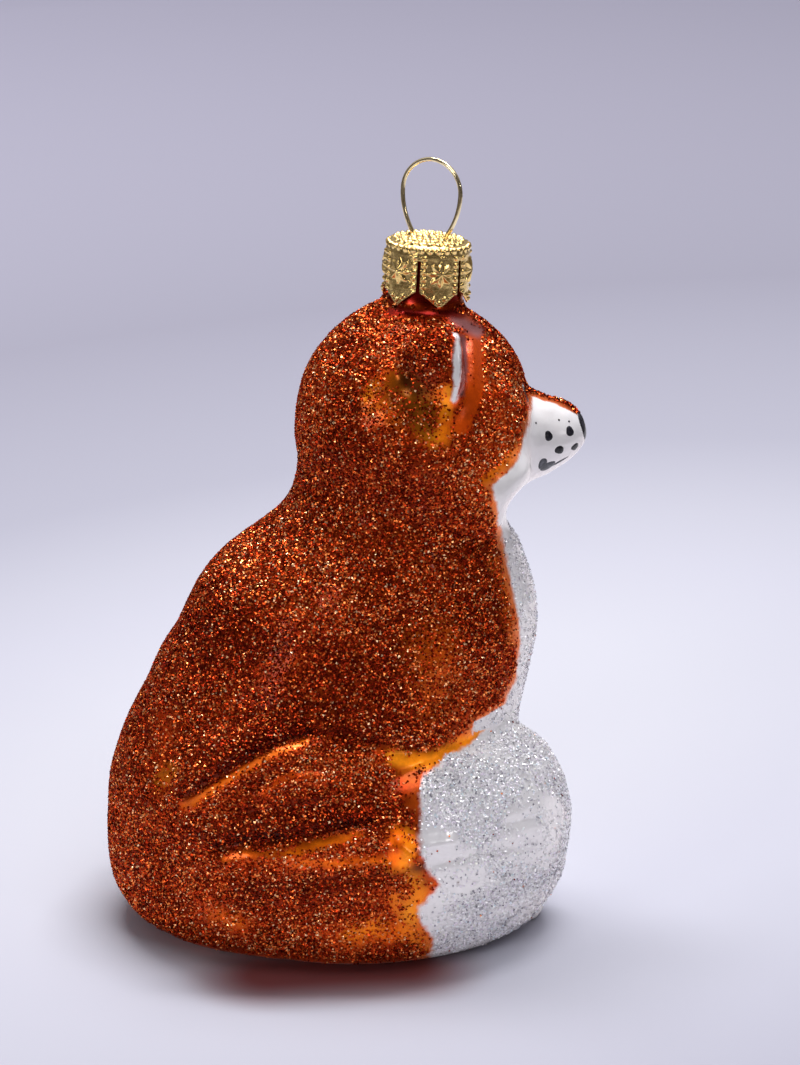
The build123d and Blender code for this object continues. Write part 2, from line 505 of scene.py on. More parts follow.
@dataclass(frozen=True)
class Paper(Finish):
    """Pale paper, with a painted pool of light round the figure.

    The camera sees the painted pool of light and a painted red shadow under the glass. Glass and metal mirror
    a plainer paper, pale beside the figure and painted dark far from it, as painted shade in what they
    mirror.
    """

    name: str = "floor_paper"
    pool_centre: Point = (0.065, 0.0)
    pool_turn: float = radians(132.0)
    pool_stretch: float = 1.6
    pool_reach: float = 0.75
    # Painted pool of light, pale round the figure and darker away from it.
    pool_stops: Stops = (
        (0.00, (0.535, 0.535, 0.600)),
        (0.05, (0.520, 0.520, 0.586)),
        (0.09, (0.480, 0.478, 0.555)),
        (0.12, (0.445, 0.443, 0.517)),
        (0.17, (0.370, 0.366, 0.443)),
        (0.32, (0.325, 0.315, 0.395)),
        (0.92, (0.660, 0.635, 0.800)),
    )
    bounce: Colour = (0.670, 0.660, 0.710)
    # Painted shade: paper far from the figure, seen only in reflections and bounced light.
    mirrored_shade: Colour = (0.050, 0.038, 0.034)
    # Painted red shadow under the glass.
    painted_shadow: Colour = (0.160, 0.035, 0.037)
    painted_shadow_centre: Point = (-23 * MM, 15 * MM)
    painted_shadow_half: float = 9 * MM
    painted_shadow_reach: Point = (2.0 * MM, 13.0 * MM)
    lit_centre: Point = (0.12, 0.0)
    lit_reach: Point = (0.24, 0.44)

    def dress(self, sheet: NodeSheet) -> dict[str | int, object]:
        """Draw the painted pool of light, the painted shadow under the figure and the painted shade that the
        figure mirrors.

        Args:
            sheet: Node tree of the material.

        Returns:
            Values and signals for the shader's sockets.
        """
        settings = {
            "Vector": sheet.place(),
            "Location": (*self.pool_centre, 0.0),
            "Rotation": (0.0, 0.0, self.pool_turn),
            "Scale": (self.pool_stretch * self.pool_reach, self.pool_reach, 1.0),
        }
        moved = sheet.node("ShaderNodeMapping", {"vector_type": "TEXTURE"}, settings)
        away = sheet.node("ShaderNodeVectorMath", {"operation": "LENGTH"}, {0: moved}, "Value")
        tone = sheet.node("ShaderNodeValToRGB", {"stops": self.pool_stops}, {"Fac": away})
        east = sheet.node("ShaderNodeSeparateXYZ", sockets={0: sheet.place()})
        north = east.other("Y")
        seen = sheet.node("ShaderNodeLightPath", output="Is Camera Ray")
        east_off, north_off = east - self.lit_centre[0], north - self.lit_centre[1]
        # Painted shade far from the figure, for what glass and metal mirror.
        mirrored_shade = ((east_off * east_off + north_off * north_off) ** 0.5).rise(*self.lit_reach)
        unseen = sheet.mix(mirrored_shade, self.bounce, self.mirrored_shade)
        across = east - self.painted_shadow_centre[0]
        along = ((north - self.painted_shadow_centre[1]).math("ABSOLUTE") - self.painted_shadow_half).at_least(0.0)
        off = (across * across + along * along) ** 0.5
        # Painted red shadow under the figure, seen by the camera.
        tone = sheet.mix(off.rise(*self.painted_shadow_reach), self.painted_shadow, tone)
        return {"Base Color": sheet.mix(seen, unseen, tone), "Roughness": 0.9}


@dataclass(frozen=True)
class PhotoView:
    """The camera that took the photograph, and its image plane."""

    azimuth: float = -98.0
    elevation: float = 17.0
    distance: float = 0.450
    target: Place = (0.0, 0.0034, 0.053)
    focal_px: float = 3358.0
    width_px: float = 800.0
    height_px: float = 1065.0
    sensor: float = 36.0

    def axes(self) -> tuple[Vector, Vector, Vector, Vector]:
        """Frame of the camera.

        Returns:
            The eye's place, and its directions to the right, up and forward.
        """
        a, e = radians(self.azimuth), radians(self.elevation)
        back = Vector((sin(a) * cos(e), -cos(a) * cos(e), sin(e)))
        right = Vector((cos(a), sin(a), 0.0))
        return Vector(self.target) + back * self.distance, right, back.cross(right), -back

    def seen(self, places: np.ndarray) -> np.ndarray:
        """Pixels at which places show.

        Args:
            places: Places, one a row.

        Returns:
            Their pixels, one a row.
        """
        eye, right, up, forward = (np.array(v) for v in self.axes())
        out = places - eye
        depth = out @ forward
        across = self.width_px / 2 + self.focal_px * (out @ right) / depth
        down = self.height_px / 2 - self.focal_px * (out @ up) / depth
        return np.stack([across, down], 1)

    def ray(self, pixel: Point) -> tuple[Vector, Vector]:
        """Line of sight through a pixel.

        Args:
            pixel: The pixel.

        Returns:
            The eye's place and the line's direction.
        """
        eye, right, up, forward = self.axes()
        across = (pixel[0] - self.width_px / 2) / self.focal_px
        down = (pixel[1] - self.height_px / 2) / self.focal_px
        return eye, (forward + right * across - up * down).normalized()

    def build(self) -> None:
        """Make it the scene's camera."""
        data = bpy.data.cameras.new("photo_camera")
        data.sensor_fit = "VERTICAL"
        data.sensor_height = self.sensor
        data.lens = self.sensor * self.focal_px / self.height_px
        camera = new_object("photo_camera", data)
        eye, right, up, forward = self.axes()
        turn = Matrix((right, up, -forward)).transposed()
        camera.matrix_world = Matrix.Translation(eye) @ turn.to_4x4()
        bpy.context.scene.camera = camera


@dataclass(frozen=True)
class Stroke:
    """A soft mark along a line of the photograph."""

    line: Line
    reach: float
    amount: float = 1.0
    soft: float = 2.5

    def gap(self, seen: np.ndarray) -> np.ndarray:
        """Distance of each pixel from the line.

        Args:
            seen: Pixels, one a row.

        Returns:
            Their distances, in pixels.
        """
        nearest = np.full(len(seen), np.inf)
        points = np.array(self.line, float)
        for start, run in zip(points, np.diff(points, axis=0)):
            along = np.clip((seen - start) @ run / (run @ run), 0, 1)
            nearest = np.minimum(nearest, np.linalg.norm(seen - start - along[:, None] * run, axis=1))
        return nearest

    def over(self, seen: np.ndarray) -> np.ndarray:
        """Strength of the mark at each pixel.

        Args:
            seen: Pixels, one a row.

        Returns:
            Strengths, from 0 to its amount.
        """
        return self.amount * (1 - smooth_step(self.reach - self.soft, self.reach + self.soft, self.gap(seen)))


Strokes = tuple[Stroke, ...]


def total(strokes: Strokes, seen: np.ndarray) -> np.ndarray:
    """Sum of several marks at each pixel."""
    return sum((stroke.over(seen) for stroke in strokes), np.zeros(len(seen)))


def deepest(strokes: Strokes, seen: np.ndarray) -> np.ndarray:
    """How far inside the nearest of several marks each pixel is, in pixels, and below 0 outside."""
    return np.max([stroke.reach - stroke.gap(seen) for stroke in strokes], axis=0)


@dataclass(frozen=True)
class Neck:
    """The neck tube's frame, taken from the joints."""

    top: Vector
    axis: Vector
    over_ring: float = 0.125 * MM

    @classmethod
    def from_joints(cls, joints: list[dict]) -> "Neck":
        """Read the neck's top and axis off the cap's and the ring's joints.

        Args:
            joints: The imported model's joints.

        Returns:
            The neck, whose top is a little over the ring's joint.
        """
        found = {joint["name"]: joint for joint in joints}
        axis = Vector(found["cap_lift"]["axis"])
        return cls(Vector(found["ring_tilt"]["pos_m"]) + axis * cls.over_ring, axis)

    def matrix(self) -> Matrix:
        """Frame of the neck.

        Returns:
            The frame, with its Z along the neck and its origin on the neck's top.
        """
        across = Vector((1.0, 0.0, 0.0))
        turn = Matrix((across, self.axis.cross(across), self.axis)).transposed()
        return Matrix.Translation(self.top) @ turn.to_4x4()

    def local(self, places: np.ndarray) -> np.ndarray:
        """Places in the neck's frame."""
        turn = np.array(self.matrix().inverted())
        return places @ turn[:3, :3].T + turn[:3, 3]


@dataclass(frozen=True)
class TailRing:
    """The ellipse that the tail is laid along, round the right side."""

    back: float = 9.5 * MM
    half_width: float = 18.3 * MM
    half_depth: float = 21.0 * MM
    start: float = radians(12.0)
    stop: float = radians(140.0)
    half_thickness: float = 10.0 * MM
    half_height: float = 15.2 * MM
    tip_length: float = 14.2 * MM
    sink: float = 0.94
    girth_ways: tuple[float, ...] = (0.00, 0.18, 0.38, 0.58, 0.80, 1.00)
    girths: tuple[float, ...] = (0.60, 0.72, 0.84, 0.94, 0.99, 1.00)

    def depth(self, places: np.ndarray) -> np.ndarray:
        """How far inside the tail places are, from 1 on its line to 0 on its skin.

        Args:
            places: Places, one a row.

        Returns:
            Depths, below 0 outside the tail.
        """
        angle = np.arctan2(-places[:, 0] / self.half_width, (places[:, 1] - self.back) / self.half_depth)
        angle = np.where(angle < -pi / 2, angle + tau, angle)
        held = np.clip(angle, self.start, self.stop)
        girth = np.interp((held - self.start) / (self.stop - self.start), self.girth_ways, self.girths)
        centre = np.stack([-self.half_width * np.sin(held), self.back + self.half_depth * np.cos(held)], 1)
        along = np.stack([-self.half_width * np.cos(held), -self.half_depth * np.sin(held)], 1)
        along /= np.linalg.norm(along, axis=1)[:, None]
        out = places[:, :2] - centre
        beyond = np.einsum("ij,ij->i", out, along)
        side = out[:, 0] * along[:, 1] - out[:, 1] * along[:, 0]
        rise = places[:, 2] - self.half_height * girth * self.sink
        beyond = np.where((angle > self.stop) | (angle < self.start), beyond, 0)
        across = side / (self.half_thickness * girth)
        up = rise / (self.half_height * girth)
        return 1 - np.sqrt(across**2 + up**2 + (beyond / self.tip_length) ** 2)


@dataclass
class Marks:
    """Marks on the photographed side, in pixels of the photograph."""

    coat_edge: Line = (
        (532, 380), (532, 397), (530.5, 412), (528, 428), (522, 450), (514.5, 464), (506.5, 475),
        (492, 485.5), (493, 498), (497, 510), (506, 558), (516, 600), (521, 640), (516, 680),
        (505, 705), (474, 722), (470, 745), (480, 762), (478, 950),
    )
    bridge: float = 527.0
    muzzle_top: Line = ((500, 384), (530, 395.5), (548, 402), (569.5, 410.5), (580, 417), (620, 440))
    tail_edge: Line = (
        (432, 700), (424, 776), (421, 806), (419, 849), (437, 884), (417, 913), (433, 939), (428, 970),
    )
    tail_top: Line = (
        (400, 788), (426, 775), (444, 758), (462, 749), (480, 734), (505, 713), (522, 690), (560, 600),
    )
    bare: Strokes = (
        Stroke(((474, 338), (475, 385), (468, 410), (462, 426)), 8.5, 0.98, 3.0),
        Stroke(((462, 336), (464, 366), (461, 392)), 4, 1.0, 1.5),
        Stroke(((455, 338), (456, 365), (455, 395)), 4.5, 1.0, 1.5),
        Stroke(((452, 320), (466, 324), (478, 331)), 6.5, 0.92, 2.5),
        Stroke(((449, 388), (447, 412), (444, 438)), 5.5, 0.65, 6),
        Stroke(((421, 433), (432, 438)), 7, 0.4, 5),
        Stroke(((391, 376), (396, 382)), 7, 0.6, 5),
        Stroke(((384, 398), (412, 405), (430, 438)), 30, 0.42, 18),
        Stroke(((392, 312), (420, 314.5), (450, 314), (468, 319)), 4.5, 1.0, 2.0),
        Stroke(((396, 762), (424, 760), (445, 753), (468, 740), (505, 712)), 7.5, 0.96, 4),
        Stroke(((402, 766), (410, 785), (413, 800)), 10, 0.90, 5),
        Stroke(((384, 748), (400, 750)), 6, 0.7, 4),
        Stroke(((184, 805), (192, 800)), 6, 0.8),
        Stroke(((190, 804), (215, 787), (245, 768), (272, 754), (306, 741)), 3.4, 0.85, 1.8),
        Stroke(((265, 794), (274, 783), (291, 775), (320, 774)), 2.6, 0.55, 1.5),
        Stroke(((222, 860), (245, 854), (291, 853), (320, 843), (360, 833)), 3.8, 0.8, 2.0),
        Stroke(((300, 848), (345, 838)), 5, 0.65, 4),
        Stroke(((291, 865), (330, 863), (368, 861), (392, 856), (408, 850)), 4.5, 0.75, 3.5),
        Stroke(((398, 842), (404, 852), (399, 864)), 10, 0.92, 5),
        Stroke(((386, 822), (404, 826), (414, 836)), 4, 0.5, 3),
        Stroke(((415, 872), (420, 890), (414, 906)), 8, 0.7, 5),
        Stroke(((184, 796), (215, 777), (245, 760), (272, 743), (303, 734)), 1.5, 0.55, 3),
        Stroke(((213, 849), (234, 846), (268, 843), (301, 837), (330, 830), (366, 824)), 1.2, 0.55, 3),
        Stroke(((346, 942), (374, 930), (392, 934)), 11, 0.62, 8),
        Stroke(((395, 900), (405, 925), (420, 936)), 9, 0.7, 6),
        Stroke(((206, 912), (244, 924)), 10, 0.55, 8),
        Stroke(((167, 716), (162, 745), (166, 775)), 6, 0.35, 6),
        Stroke(((160, 782), (172, 772)), 8, 0.5, 6),
        Stroke(((430, 640), (438, 670)), 26, 0.34, 18),
        Stroke(((504, 560), (512, 600), (514, 640)), 7, 0.55, 5),
        Stroke(((496, 505), (502, 540)), 5, 0.7, 3),
        Stroke(((488, 480), (505, 468), (518, 448)), 6, 0.75, 3),
        Stroke(((527, 398), (532, 404)), 3.0, 0.9, 1.5),
        Stroke(((534, 395.5), (550, 400.5), (570, 408.5)), 2.6, 0.92, 1.4),
        Stroke(((404, 382), (420, 398)), 9, 0.35, 8),
        Stroke(((488, 400), (500, 440)), 14, 0.22, 12),
    )
    # Painted highlights, yellow, where light falls on bare lacquer.
    amber: Strokes = (
        Stroke(((449, 390), (446, 404), (446, 414)), 5, 0.75, 4),
        Stroke(((420, 428), (432, 440)), 8, 0.40, 6),
        Stroke(((366, 396), (372, 386)), 5, 0.30, 4),
        Stroke(((392, 757), (424, 762), (445, 754), (470, 742), (505, 712)), 8, 0.75, 4),
        Stroke(((384, 400), (400, 404)), 20, 0.22, 14),
        Stroke(((425, 418), (440, 436)), 12, 0.35, 9),
        Stroke(((400, 380), (424, 402)), 12, 0.35, 9),
        Stroke(((160, 782), (170, 772)), 10, 0.35, 6),
        Stroke(((426, 640), (436, 690)), 28, 0.12, 20),
        Stroke(((186, 806), (215, 787), (245, 768), (272, 754), (306, 741)), 4, 0.2, 3),
        Stroke(((225, 860), (245, 854), (291, 853), (320, 843), (360, 833)), 4, 0.15, 3),
        Stroke(((395, 760), (412, 778)), 7, 0.15, 5),
        Stroke(((497, 560), (512, 600), (514, 640)), 9, 0.25, 6),
        Stroke(((488, 481), (505, 468), (519, 446)), 7, 0.40, 5),
        Stroke(((494, 500), (502, 540)), 7, 0.30, 5),
        Stroke(((352, 932), (378, 926)), 10, 0.35, 6),
        Stroke(((398, 900), (412, 930), (425, 950)), 10, 0.35, 6),
        Stroke(((408, 832), (410, 848), (404, 866)), 6, 0.6, 4),
        Stroke(((414, 875), (420, 892), (412, 915)), 8, 0.5, 5),
    )
    # Painted glow, emitted where the highlights are brightest.
    ember: Strokes = (
        Stroke(((395, 757), (424, 762), (445, 754), (468, 741)), 7, 0.9, 5),
        Stroke(((402, 770), (412, 786), (413, 800)), 9, 0.15, 6),
        Stroke(((396, 836), (408, 842), (407, 856), (394, 864)), 9, 1.0, 6),
        Stroke(((296, 863), (340, 864), (384, 861)), 3.5, 0.75, 4),
        Stroke(((290, 854), (320, 845), (360, 836)), 3.5, 0.6, 4),
        Stroke(((196, 803), (230, 780), (272, 756), (306, 742)), 2.5, 0.45, 3),
        Stroke(((440, 390), (446, 404), (443, 436)), 6, 0.55, 5),
        Stroke(((366, 398), (374, 384)), 5, 0.3, 5),
        Stroke(((352, 938), (374, 930), (405, 934)), 9, 0.40, 7),
        Stroke(((215, 914), (238, 922)), 7, 0.30, 6),
        Stroke(((418, 895), (412, 912)), 6, 0.35, 5),
    )
    # Painted highlights, orange, on ridges and faces that catch the light.
    glow: Strokes = (
        Stroke(((186, 808), (200, 798), (215, 792)), 8, 0.8, 6),
        Stroke(((205, 793), (245, 770), (272, 756), (300, 744), (337, 738)), 6, 0.75, 5),
        Stroke(((262, 794), (280, 780), (322, 778)), 5, 0.6, 5),
        Stroke(((378, 758), (400, 762), (410, 770)), 9, 0.8, 6),
        Stroke(((408, 774), (418, 790), (418, 804)), 8, 0.5, 6),
        Stroke(((224, 874), (256, 868), (286, 872)), 9, 0.55, 8),
        Stroke(((240, 862), (291, 856), (330, 848), (360, 838)), 7, 0.7, 6),
        Stroke(((290, 866), (330, 866), (370, 862)), 7, 0.6, 6),
        Stroke(((390, 838), (410, 842), (408, 862)), 11, 0.95, 8),
        Stroke(((376, 884), (400, 900), (425, 880)), 14, 0.5, 10),
        Stroke(((190, 905), (215, 918), (238, 930)), 14, 0.6, 11),
        Stroke(((340, 936), (380, 930), (420, 925)), 18, 0.85, 12),
        Stroke(((405, 900), (424, 940), (428, 960)), 10, 0.7, 8),
        Stroke(((164, 720), (160, 770), (172, 795)), 14, 0.5, 12),
        Stroke(((424, 766), (445, 755), (470, 742), (505, 712)), 12, 0.8, 8),
        Stroke(((475, 340), (477, 385), (468, 412), (462, 428)), 9, 1.0, 5),
        Stroke(((445, 395), (443, 440)), 9, 0.7, 7),
        Stroke(((398, 372), (385, 385)), 10, 0.5, 8),
        Stroke(((415, 430), (432, 442)), 10, 0.6, 8),
        Stroke(((428, 640), (436, 690)), 24, 0.45, 18),
        Stroke(((500, 560), (514, 600), (516, 640), (510, 690)), 10, 0.7, 8),
        Stroke(((494, 500), (502, 540)), 7, 0.6, 5),
        Stroke(((490, 482), (505, 470), (520, 450)), 8, 0.6, 5),
        Stroke(((400, 560), (440, 590)), 12, 0.2, 12),
        Stroke(((486, 380), (506, 400), (500, 440), (484, 474)), 16, 0.75, 14),
        Stroke(((318, 380), (306, 430)), 14, 0.4, 12),
    )
    # Painted shade in grooves, hollows and under folds.
    umber: Strokes = (
        Stroke(((184, 793), (215, 773), (245, 754), (272, 738), (303, 730)), 7, 0.85, 6),
        Stroke(((303, 732), (340, 735), (372, 741)), 4, 0.5, 4),
        Stroke(((213, 846), (234, 842), (268, 839), (301, 833), (330, 826), (372, 819)), 6.5, 0.85, 5.5),
        Stroke(((290, 712), (250, 740)), 18, 0.35, 14),
        Stroke(((376, 742), (410, 752), (450, 744)), 6, 0.5, 5),
        Stroke(((416, 356), (408, 372), (424, 384)), 12, 0.6, 8),
        Stroke(((400, 392), (424, 420)), 15, 0.6, 9),
        Stroke(((420, 866), (424, 880)), 8, 0.35, 7),
        Stroke(((250, 815), (320, 806), (380, 818)), 11, 0.45, 9),
        Stroke(((190, 838), (230, 834), (280, 830)), 8, 0.4, 7),
        Stroke(((240, 892), (300, 886), (390, 880)), 9, 0.5, 8),
        Stroke(((372, 868), (400, 872), (424, 866)), 5, 0.5, 5),
        Stroke(((176, 850), (190, 890)), 12, 0.3, 11),
        Stroke(((528, 386), (550, 395), (575, 408)), 4, 0.4, 2),
        Stroke(((474, 340), (476, 385), (468, 412)), 8, 0.36, 4),
        Stroke(((404, 774), (414, 788), (415, 800)), 8, 0.30, 5),
    )
    veil: Strokes = (
        Stroke(((463, 338), (465, 366), (461, 394)), 2.6, 0.8, 1.6),
        Stroke(((456, 318), (466, 325), (478, 331)), 6, 0.9, 4),
    )
    ear_white: Strokes = (
        Stroke(((453, 325), (457.5, 338), (458.5, 352)), 2.2),
        Stroke(((458, 348), (457, 362), (457, 380)), 3.8),
        Stroke(((457, 376), (456.5, 388), (454, 400)), 2.9),
    )
    # Painted light and shade on the glitter: below 0 darker, above 0 lighter.
    cast: Strokes = (
        Stroke(((230, 640), (300, 690), (350, 700)), 42, -0.85, 35),
        Stroke(((184, 790), (215, 770), (245, 752), (272, 736), (310, 728), (372, 738)), 6, -1.0, 7),
        Stroke(((213, 843), (234, 839), (268, 836), (301, 830), (330, 823), (372, 817)), 5, -1.0, 6),
        Stroke(((410, 376), (420, 396)), 13, -0.8, 9),
        Stroke(((360, 460), (400, 490)), 36, -0.40, 28),
        Stroke(((250, 890), (330, 885), (390, 880)), 13, -0.55, 11),
        Stroke(((190, 835), (285, 835)), 11, -0.40, 10),
        Stroke(((247, 815), (390, 818)), 13, -0.45, 12),
        Stroke(((207, 755), (300, 735), (355, 745)), 11, -0.50, 10),
        Stroke(((480, 360), (505, 400), (500, 450), (478, 480)), 22, 0.85, 18),
        Stroke(((325, 345), (350, 325), (390, 315)), 26, 0.35, 22),
        Stroke(((318, 380), (305, 430)), 16, 0.55, 14),
        Stroke(((240, 560), (290, 530), (330, 560)), 34, 0.30, 26),
        Stroke(((310, 765), (360, 760), (400, 775)), 18, 0.60, 14),
        Stroke(((210, 930), (300, 945), (400, 935)), 16, 0.40, 12),
        Stroke(((270, 855), (330, 858), (380, 850)), 8, 0.40, 7),
    )
    frost: Strokes = (
        Stroke(((445, 770), (470, 775), (500, 790), (480, 820), (450, 800)), 20, 1.0, 12),
        Stroke(((432, 772), (440, 800), (436, 816)), 12, 0.8, 8),
        Stroke(((500, 740), (540, 760), (560, 800)), 14, 0.5, 10),
        Stroke(((470, 850), (500, 870)), 12, 0.45, 9),
        Stroke(((460, 912), (500, 895), (540, 880)), 12, 0.7, 8),
        Stroke(((430, 945), (470, 935), (510, 925)), 10, 0.7, 7),
        Stroke(((565, 780), (574, 820), (560, 870)), 9, 0.6, 7),
    )
    tufts: Strokes = (
        Stroke(((500, 720), (548, 742), (570, 790), (572, 850), (540, 895), (500, 915)), 14, 1.0, 14),
    )
    frost_bare: Strokes = (
        Stroke(((434, 838), (444, 846)), 12, 1.0, 5),
        Stroke(((433, 862), (470, 852)), 5, 0.8, 4),
        Stroke(((445, 885), (480, 872)), 5, 0.7, 4),
        Stroke(((440, 900), (425, 915)), 8, 0.8, 5),
        Stroke(((512, 815), (526, 822)), 9, 0.8, 6),
        Stroke(((545, 800), (560, 812)), 9, 0.8, 6),
        Stroke(((505, 845), (535, 835)), 8, 0.5, 6),
        Stroke(((500, 725), (482, 732)), 6, 0.9, 3),
    )
    collar: Strokes = (Stroke(((388, 311), (420, 313.5), (450, 313), (462, 315)), 4.0, 1.0, 2.0),)
    tuck: Strokes = (
        Stroke(((586, 454), (574, 465), (560, 474)), 7, -0.8, 9),
        Stroke(((538, 494), (530, 504), (518, 516)), 9, -2.2, 12),
    )
    relief: Strokes = (
        Stroke(((182, 797), (215, 778), (245, 760), (272, 744), (302, 735)), 3, -1.0, 6),
        Stroke(((302, 735), (330, 735), (370, 742), (420, 748)), 3, -0.4, 8),
        Stroke(((196, 807), (215, 796), (245, 777), (272, 763), (303, 751)), 5, 0.55, 6),
        Stroke(((212, 850), (234, 845), (268, 843), (301, 837), (330, 830), (372, 822)), 3, -0.85, 5),
        Stroke(((222, 864), (245, 860), (291, 858), (330, 850), (368, 838)), 5, 0.5, 6),
        Stroke(((262, 797), (274, 787), (295, 779), (330, 778)), 5, 0.4, 6),
        Stroke(((240, 815), (300, 808), (350, 806)), 5, -0.3, 7),
        Stroke(((240, 885), (310, 882), (380, 878)), 6, -0.35, 8),
        Stroke(((398, 846), (413, 858)), 8, 0.7, 8),
        Stroke(((348, 945), (372, 908)), 4, -0.5, 6),
        Stroke(((392, 935), (386, 900)), 4, -0.4, 6),
        Stroke(((428, 846), (452, 842)), 4, 0.5, 9),
        Stroke(((436, 864), (470, 857), (506, 848), (535, 846)), 2, -0.40, 7),
        Stroke(((446, 892), (470, 884), (501, 875), (542, 864)), 2, -0.30, 7),
        Stroke(((436, 916), (470, 908), (510, 900), (545, 880)), 2, -0.28, 7),
        Stroke(((436, 938), (476, 930), (520, 918)), 2, -0.25, 7),
        Stroke(((500, 826), (530, 818), (562, 822)), 2, -0.32, 8),
        Stroke(((470, 780), (520, 776), (560, 790)), 4, -0.2, 9),
    )
    mirrored_relief: Strokes = (
        Stroke(((456, 336), (458, 352), (458, 368), (456, 384), (452, 400)), 2.5, 0.5, 3),
        Stroke(((466, 340), (468, 366), (464, 392)), 3, -0.35, 5),
        Stroke(((476, 340), (478, 370), (472, 400), (460, 424)), 4, 0.1, 6),
        Stroke(((408, 372), (424, 388), (430, 402)), 10, -0.6, 14),
        Stroke(((362, 398), (375, 384), (400, 366), (440, 348)), 5, 0.35, 7),
        Stroke(((345, 570), (352, 600)), 20, 0.45, 18),
        Stroke(((440, 590), (470, 640)), 22, 0.4, 20),
        Stroke(((395, 620), (385, 690)), 12, -0.5, 16),
        Stroke(((528, 398), (527, 430), (514, 464)), 2.5, 0.2, 3),
    )
    melt: Strokes = (
        Stroke(((285, 494), (320, 502), (360, 508), (400, 512), (440, 514), (480, 512)), 16, 1.0, 12),
        Stroke(((395, 300), (425, 306), (460, 306)), 5, 0.5, 4),
        Stroke(((534, 440), (538, 460), (538, 480)), 8, 0.6, 8),
        Stroke(((574, 462), (556, 474), (540, 484), (528, 496), (514, 516)), 9, 1.0, 9),
    )


MARKS = Marks()
VIEW = PhotoView()
NECK = Neck.from_joints(frame["joints"])


def new_object(name: str, data: bpy.types.ID) -> bpy.types.Object:
    """Put an object in the scene.

    Args:
        name: Its name.
        data: The mesh, lamp or camera that it holds.

    Returns:
        The object.
    """
    made = bpy.data.objects.new(name, data)
    bpy.context.collection.objects.link(made)
    return made


def settle(obj: bpy.types.Object) -> bpy.types.Object:
    """Apply an object's modifiers to its mesh.

    Args:
        obj: The object.

    Returns:
        The same object.
    """
    graph = bpy.context.evaluated_depsgraph_get()
    mesh = bpy.data.meshes.new_from_object(obj.evaluated_get(graph))
    obj.modifiers.clear()
    obj.data = mesh
    return obj


def object_of(bm: bmesh.types.BMesh, name: str) -> bpy.types.Object:
    """Put a bmesh in the scene as a smooth shaded object, and free it.

    Args:
        bm: The bmesh.
        name: Name of the object and of its mesh.

    Returns:
        The object.
    """
    mesh = bpy.data.meshes.new(name)
    bm.to_mesh(mesh)
    bm.free()
    mesh.shade_smooth()
    return new_object(name, mesh)


def rows_of(items: bpy.types.bpy_prop_collection, name: str) -> np.ndarray:
    """Read one vector off each item.

    Args:
        items: The items.
        name: Name of the vector that each holds.

    Returns:
        The vectors, one a row.
    """
    flat = np.empty(len(items) * 3)
    items.foreach_get(name, flat)
    return flat.reshape(-1, 3)


def places_of(mesh: bpy.types.Mesh) -> np.ndarray:
    """Places of a mesh's vertices, one a row."""
    return rows_of(mesh.vertices, "co")


def normals_of(mesh: bpy.types.Mesh) -> np.ndarray:
    """Normals of a mesh's vertices, one a row."""
    return rows_of(mesh.vertex_normals, "vector")


def keep_field(mesh: bpy.types.Mesh, name: str, values: np.ndarray) -> None:
    """Store one value a vertex on a mesh."""
    mesh.attributes.new(name, "FLOAT", "POINT").data.foreach_set("value", values.astype(np.float32))


def finish_piece(
    obj: bpy.types.Object, body: Body, slot: Slot, *materials: bpy.types.Material
) -> bpy.types.Object:
    """Give a piece its materials and its body.

    Args:
        obj: The piece, in place.
        body: Body that it rides on.
        slot: Slot of the record. Not used.
        materials: Its materials, in the order of its faces' numbers.

    Returns:
        The piece.
    """
    obj.data.materials.clear()
    for material in materials:
        obj.data.materials.append(material)
    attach(obj, body.value)
    log.info("%s: %d triangles on %s", obj.name, len(obj.data.loops) - 2 * len(obj.data.polygons), body.value)
    return obj


@dataclass(frozen=True)
class Dab:
    """Size and outline of one mark of paint.

    Its lift is its thickness in the middle. Its power is the roundness of its outline, where 2 is an
    ellipse, and its wobble the unevenness of its outline, as a share of its size. Its slot names a slot
    of the record.
    """

    half: Point
    lift: float
    power: float = 2.0
    wobble: float = 0.0
    slot: Slot = Slot.BLACK


@dataclass(frozen=True)
class FaceSizes:
    """Where the face's paint is, and how large."""

    nose: Dab = Dab((2.9 * MM, 2.15 * MM), 0.16 * MM, power=2.4)
    nose_front: float = -21 * MM
    nose_height: float = 67.3 * MM
    whisker: Dab = Dab((0.63 * MM, 0.63 * MM), 0.11 * MM, wobble=0.16)
    whiskers: Line = ((548.7, 436), (570, 431.2), (559.4, 450), (575, 447))
    speck: Dab = Dab((0.15 * MM, 0.15 * MM), 0.05 * MM)
    specks: Line = ((536, 423), (559, 420), (569, 421.5))
    lips: tuple[Dab, ...] = (
        Dab((1.22 * MM, 0.72 * MM), 0.07 * MM, wobble=0.12),
        Dab((0.66 * MM, 0.84 * MM), 0.07 * MM, wobble=0.12),
        Dab((1.45 * MM, 0.20 * MM), 0.07 * MM, wobble=0.12),
    )
    lip_turns: tuple[float, ...] = (0.10, 0.0, 0.36)
    mouth: Line = ((547.6, 466.2), (542.6, 463.6), (559, 461.8))
    eye: Dab = Dab((1.15 * MM, 1.6 * MM), 0.18 * MM)
    eye_side: float = 4.1 * MM
    eye_front: float = -14 * MM
    eye_height: float = 73.2 * MM
    glint: Dab = Dab((0.36 * MM, 0.36 * MM), 0.24 * MM, slot=Slot.WHITE)
    glint_off: Place = (-0.35 * MM, 0, 0.7 * MM)


FACE = FaceSizes()


